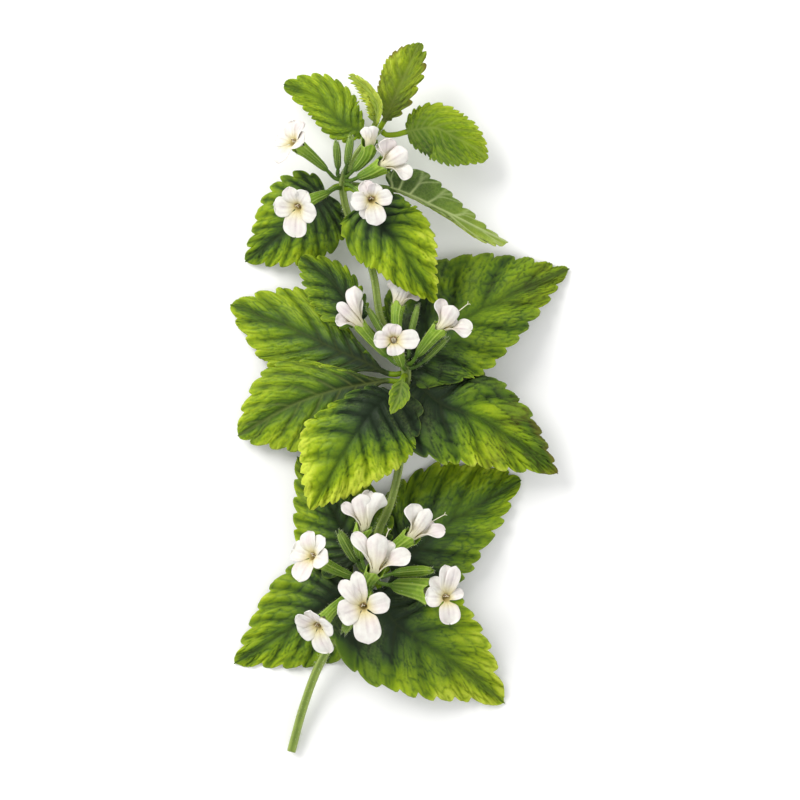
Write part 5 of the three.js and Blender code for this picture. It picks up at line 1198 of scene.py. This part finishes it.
        wave = am*np.sin(cc[None]*3.3+v[:, None]*4.0+ph)*(v[:, None]**1.2)*(0.3+np.abs(cc)[None]) + cup*W*(cc[None]**2)*np.minimum(1, v[:, None]*2)
        fold = -0.10*np.exp(-(cc/0.16)**2)[None]*np.sin(np.pi*np.clip(v, 0, 1))[:, None]**0.7
        S = Cn[:, None]+lat[:, None]*(cc[None, :, None]*hw[:, None, None])-tg[:, None]*back[..., None]+nrm[:, None]*(wave+fold)[..., None]
        rp = np.array([mouth[(i+k*nc) % cols] for i in range(nc+1)])
        bl = smooth(0.0, 0.30, v)[:, None, None]
        S = S*bl+(rp[None]+(Cn-P0)[:, None])*(1-bl)
        V.append(S.reshape(-1, 3))
        grid = count+np.arange(nv*(nc+1)).reshape(nv, nc+1)
        grid = np.concatenate([first_ring[None], grid], 0)
        A, B2, C2, D = grid[:-1, :-1], grid[:-1, 1:], grid[1:, 1:], grid[1:, :-1]
        Q.append(np.stack([A, D, C2, B2], -1).reshape(-1, 4))
        count += nv*(nc+1)
        one = np.ones((nv, nc+1))
        VAL['thr'].append((one*(1-smooth(0.0, 0.70, v))[:, None]*0.9).ravel())
        VAL['lip'].append((one*lb['low']).ravel())
        # fine lines along the lobe, a fold down its middle and its foot: they carry the painted crease shade
        stripes = 0.50*(0.5+0.5*np.cos(cc[None]*13+ph))*smooth(1.0, 0.30, v[:, None])+0.55*np.exp(-(cc/0.10)**2)[None]*smooth(1.0, 0.5, v[:, None])+0.35*smooth(0.35, 0.0, v[:, None])
        VAL['crease'].append(np.clip(stripes*one, 0, 1).ravel())
        ed = np.maximum(np.abs(cc)[None]*one, v[:, None]*one)
        VAL['edge'].append(ed.ravel())
        HALF.append((0.085-0.045*smooth(0.8, 1.0, ed)).ravel())
    bld = Build('thr', 'lip', 'crease', 'edge', 'tint', 'inner')
    vals = {k: np.concatenate(a) for k, a in VAL.items()}
    solidify(bld, np.concatenate(V), np.concatenate(Q), np.concatenate(HALF), 0, **vals)
    # four stamens and a forked style; in a half-closed flower they stay inside the tube
    for sx, ln in ((-0.45, 0.9), (0.45, 0.9), (-0.22, 1.25), (0.22, 1.25)):
        ln = ln-2.0 if side else ln*0.40
        p0 = c.at(c.L-3.0 if side else c.L-1.6)+(up*0.10 if side else up*0.25)+e2*sx*(0.3 if side else 0.8)
        p2 = (c.at(c.L+ln)+e2*sx*0.5) if side else (O+up*(0.36 if ln < 0.8 else 0.26)+e2*sx+f*ln)
        p1 = (p0+p2)/2 if side else O+up*0.25+e2*sx*0.8+f*0.2
        tube(bld, [p0, p1, p2], [0.07]*5+[0.06, 0.05], 1, 7, tint=0.2)
        ad = unit(e2*np.sign(sx)+f*0.4)
        tube(bld, [p2-ad*0.17, p2, p2+ad*0.17], [0.04, 0.09, 0.13, 0.10, 0.13, 0.09, 0.04], 2, 8, tint=0.9)
    st = fl.get('style')
    tip = np.array(st[:3]) if st else (c.at(c.L-0.9) if side else O+up*0.45+f*0.35)
    p0 = c.at(c.L-3.0 if side else c.L-1.6)+up*(0.05 if side else 0.4)
    p1 = c.at(c.L-1.9) if side and not st else O+up*(0.3 if side else 0.5)+f*0.3
    tube(bld, [p0, p1, (p1+tip)/2+f*0.25, tip], [0.075]*8+[0.06], 1, 8, tint=0.2)
    fork = unit(tip-p1)
    sd = unit(np.cross(fork, [0.2, 0.1, 1]))
    for sg in (-1, 1):
        tube(bld, [tip-fork*0.05, tip+fork*0.25+sd*sg*0.14, tip+fork*0.42+sd*sg*0.36], [0.06, 0.055, 0.05, 0.03], 1, 7, tint=0.2)
    return bld.make('v_corolla_'+fl['name'], [MAT['petal'], MAT['filament'], MAT['anther']], 'corolla_'+fl['name'])


# -------------------------------------------------------------------- assembly
MAT = {
    'leaf_top': leaf_top_material(), 'leaf_under': leaf_under_material(), 'stem': stem_material(),
    'calyx': calyx_material('calyx_green'), 'calyx_spent': calyx_material('calyx_spent', True),
    'petal': petal_material(), 'hair': plain_material('hair', (206, 214, 176), (232, 236, 212), 0.5),
    'filament': plain_material('filament', (214, 206, 176), (238, 234, 216), 0.5),
    'anther': plain_material('anther', (96, 74, 52), (150, 120, 84), 0.6, 5.0),
}
stem_piece()
for i, d in enumerate(LEAVES):
    leaf_piece(d, 11+i*7)
for i, fl in enumerate(FLOWERS):
    calyx_piece('v_calyx_'+fl['name'], 'calyx_'+fl['name'], fl['pts'], fl['up'], 101+i, False, bool(fl.get('side')), False, fl.get('cal', 1.0), fl.get('back', 0.0))
    corolla_piece(fl, 211+i)
for i, b in enumerate(BUDS):
    calyx_piece('v_spent_calyx_'+b['name'], 'spent_calyx_'+b['name'], b['pts'], (0.2, 0.3, 1), 301+i, True, False, bool(b.get('fresh')), b.get('slim', 1.0))

# --------------------------------------------------------------- floor and light
me = bpy.data.meshes.new('floor')
me.from_pydata([(-3, -3, 0.0), (3, -3, 0.0), (3, 3, 0.0), (-3, 3, 0.0)], [], [(0, 1, 2, 3)])
floor = bpy.data.objects.new('floor', me)
bpy.context.scene.collection.objects.link(floor)
nd = Nodes('floor_pale')
fn = nd.noise(obj_coords(nd), 0.02, 2, 0.5)
nd.set(Base_Color=nd.ramp(fn, [(0.3, (0.93, 0.93, 0.925, 1)), (0.7, (0.945, 0.945, 0.94, 1))]), Roughness=0.85)
nd.bsdf.inputs['Specular IOR Level'].default_value = 0.1
me.materials.append(nd.mat)

world = bpy.data.worlds.new('studio')
bpy.context.scene.world = world
world.use_nodes = True
bg = world.node_tree.nodes.get('Background')
bg.inputs[0].default_value = (1.0, 1.0, 1.0, 1)
bg.inputs[1].default_value = 0.84


def area(name, loc, target, size, power, colour=(1, 1, 1)):
    ld = bpy.data.lights.new(name, 'AREA')
    ld.shape = 'DISK'; ld.size = size; ld.energy = power; ld.color = colour
    o = bpy.data.objects.new(name, ld)
    bpy.context.scene.collection.objects.link(o)
    o.location = loc
    import mathutils
    dvec = mathutils.Vector(target)-mathutils.Vector(loc)
    o.rotation_euler = dvec.to_track_quat('-Z', 'Y').to_euler()
    return o


area('key', (-0.46, 0.40, 0.56), (0, 0, 0), 0.50, 5.2, (1.0, 0.985, 0.96))
area('fill', (0.55, -0.25, 0.55), (0, 0, 0), 0.5, 1.0, (0.97, 0.985, 1.0))

cam = bpy.data.cameras.new('camera')
co = bpy.data.objects.new('camera', cam)
bpy.context.scene.collection.objects.link(co)
cam.sensor_width = 36.0
cam.lens = 160.0
cam.clip_start, cam.clip_end = 0.01, 20.0
co.location = (0.0, 0.0, 0.65)
co.rotation_euler = (0.0, 0.0, 0.0)
bpy.context.scene.camera = co

bpy.context.scene.view_settings.view_transform = 'Standard'
bpy.context.scene.view_settings.look = 'None'
bpy.context.scene.view_settings.exposure = 0.0
bpy.context.scene.view_settings.gamma = 1.0
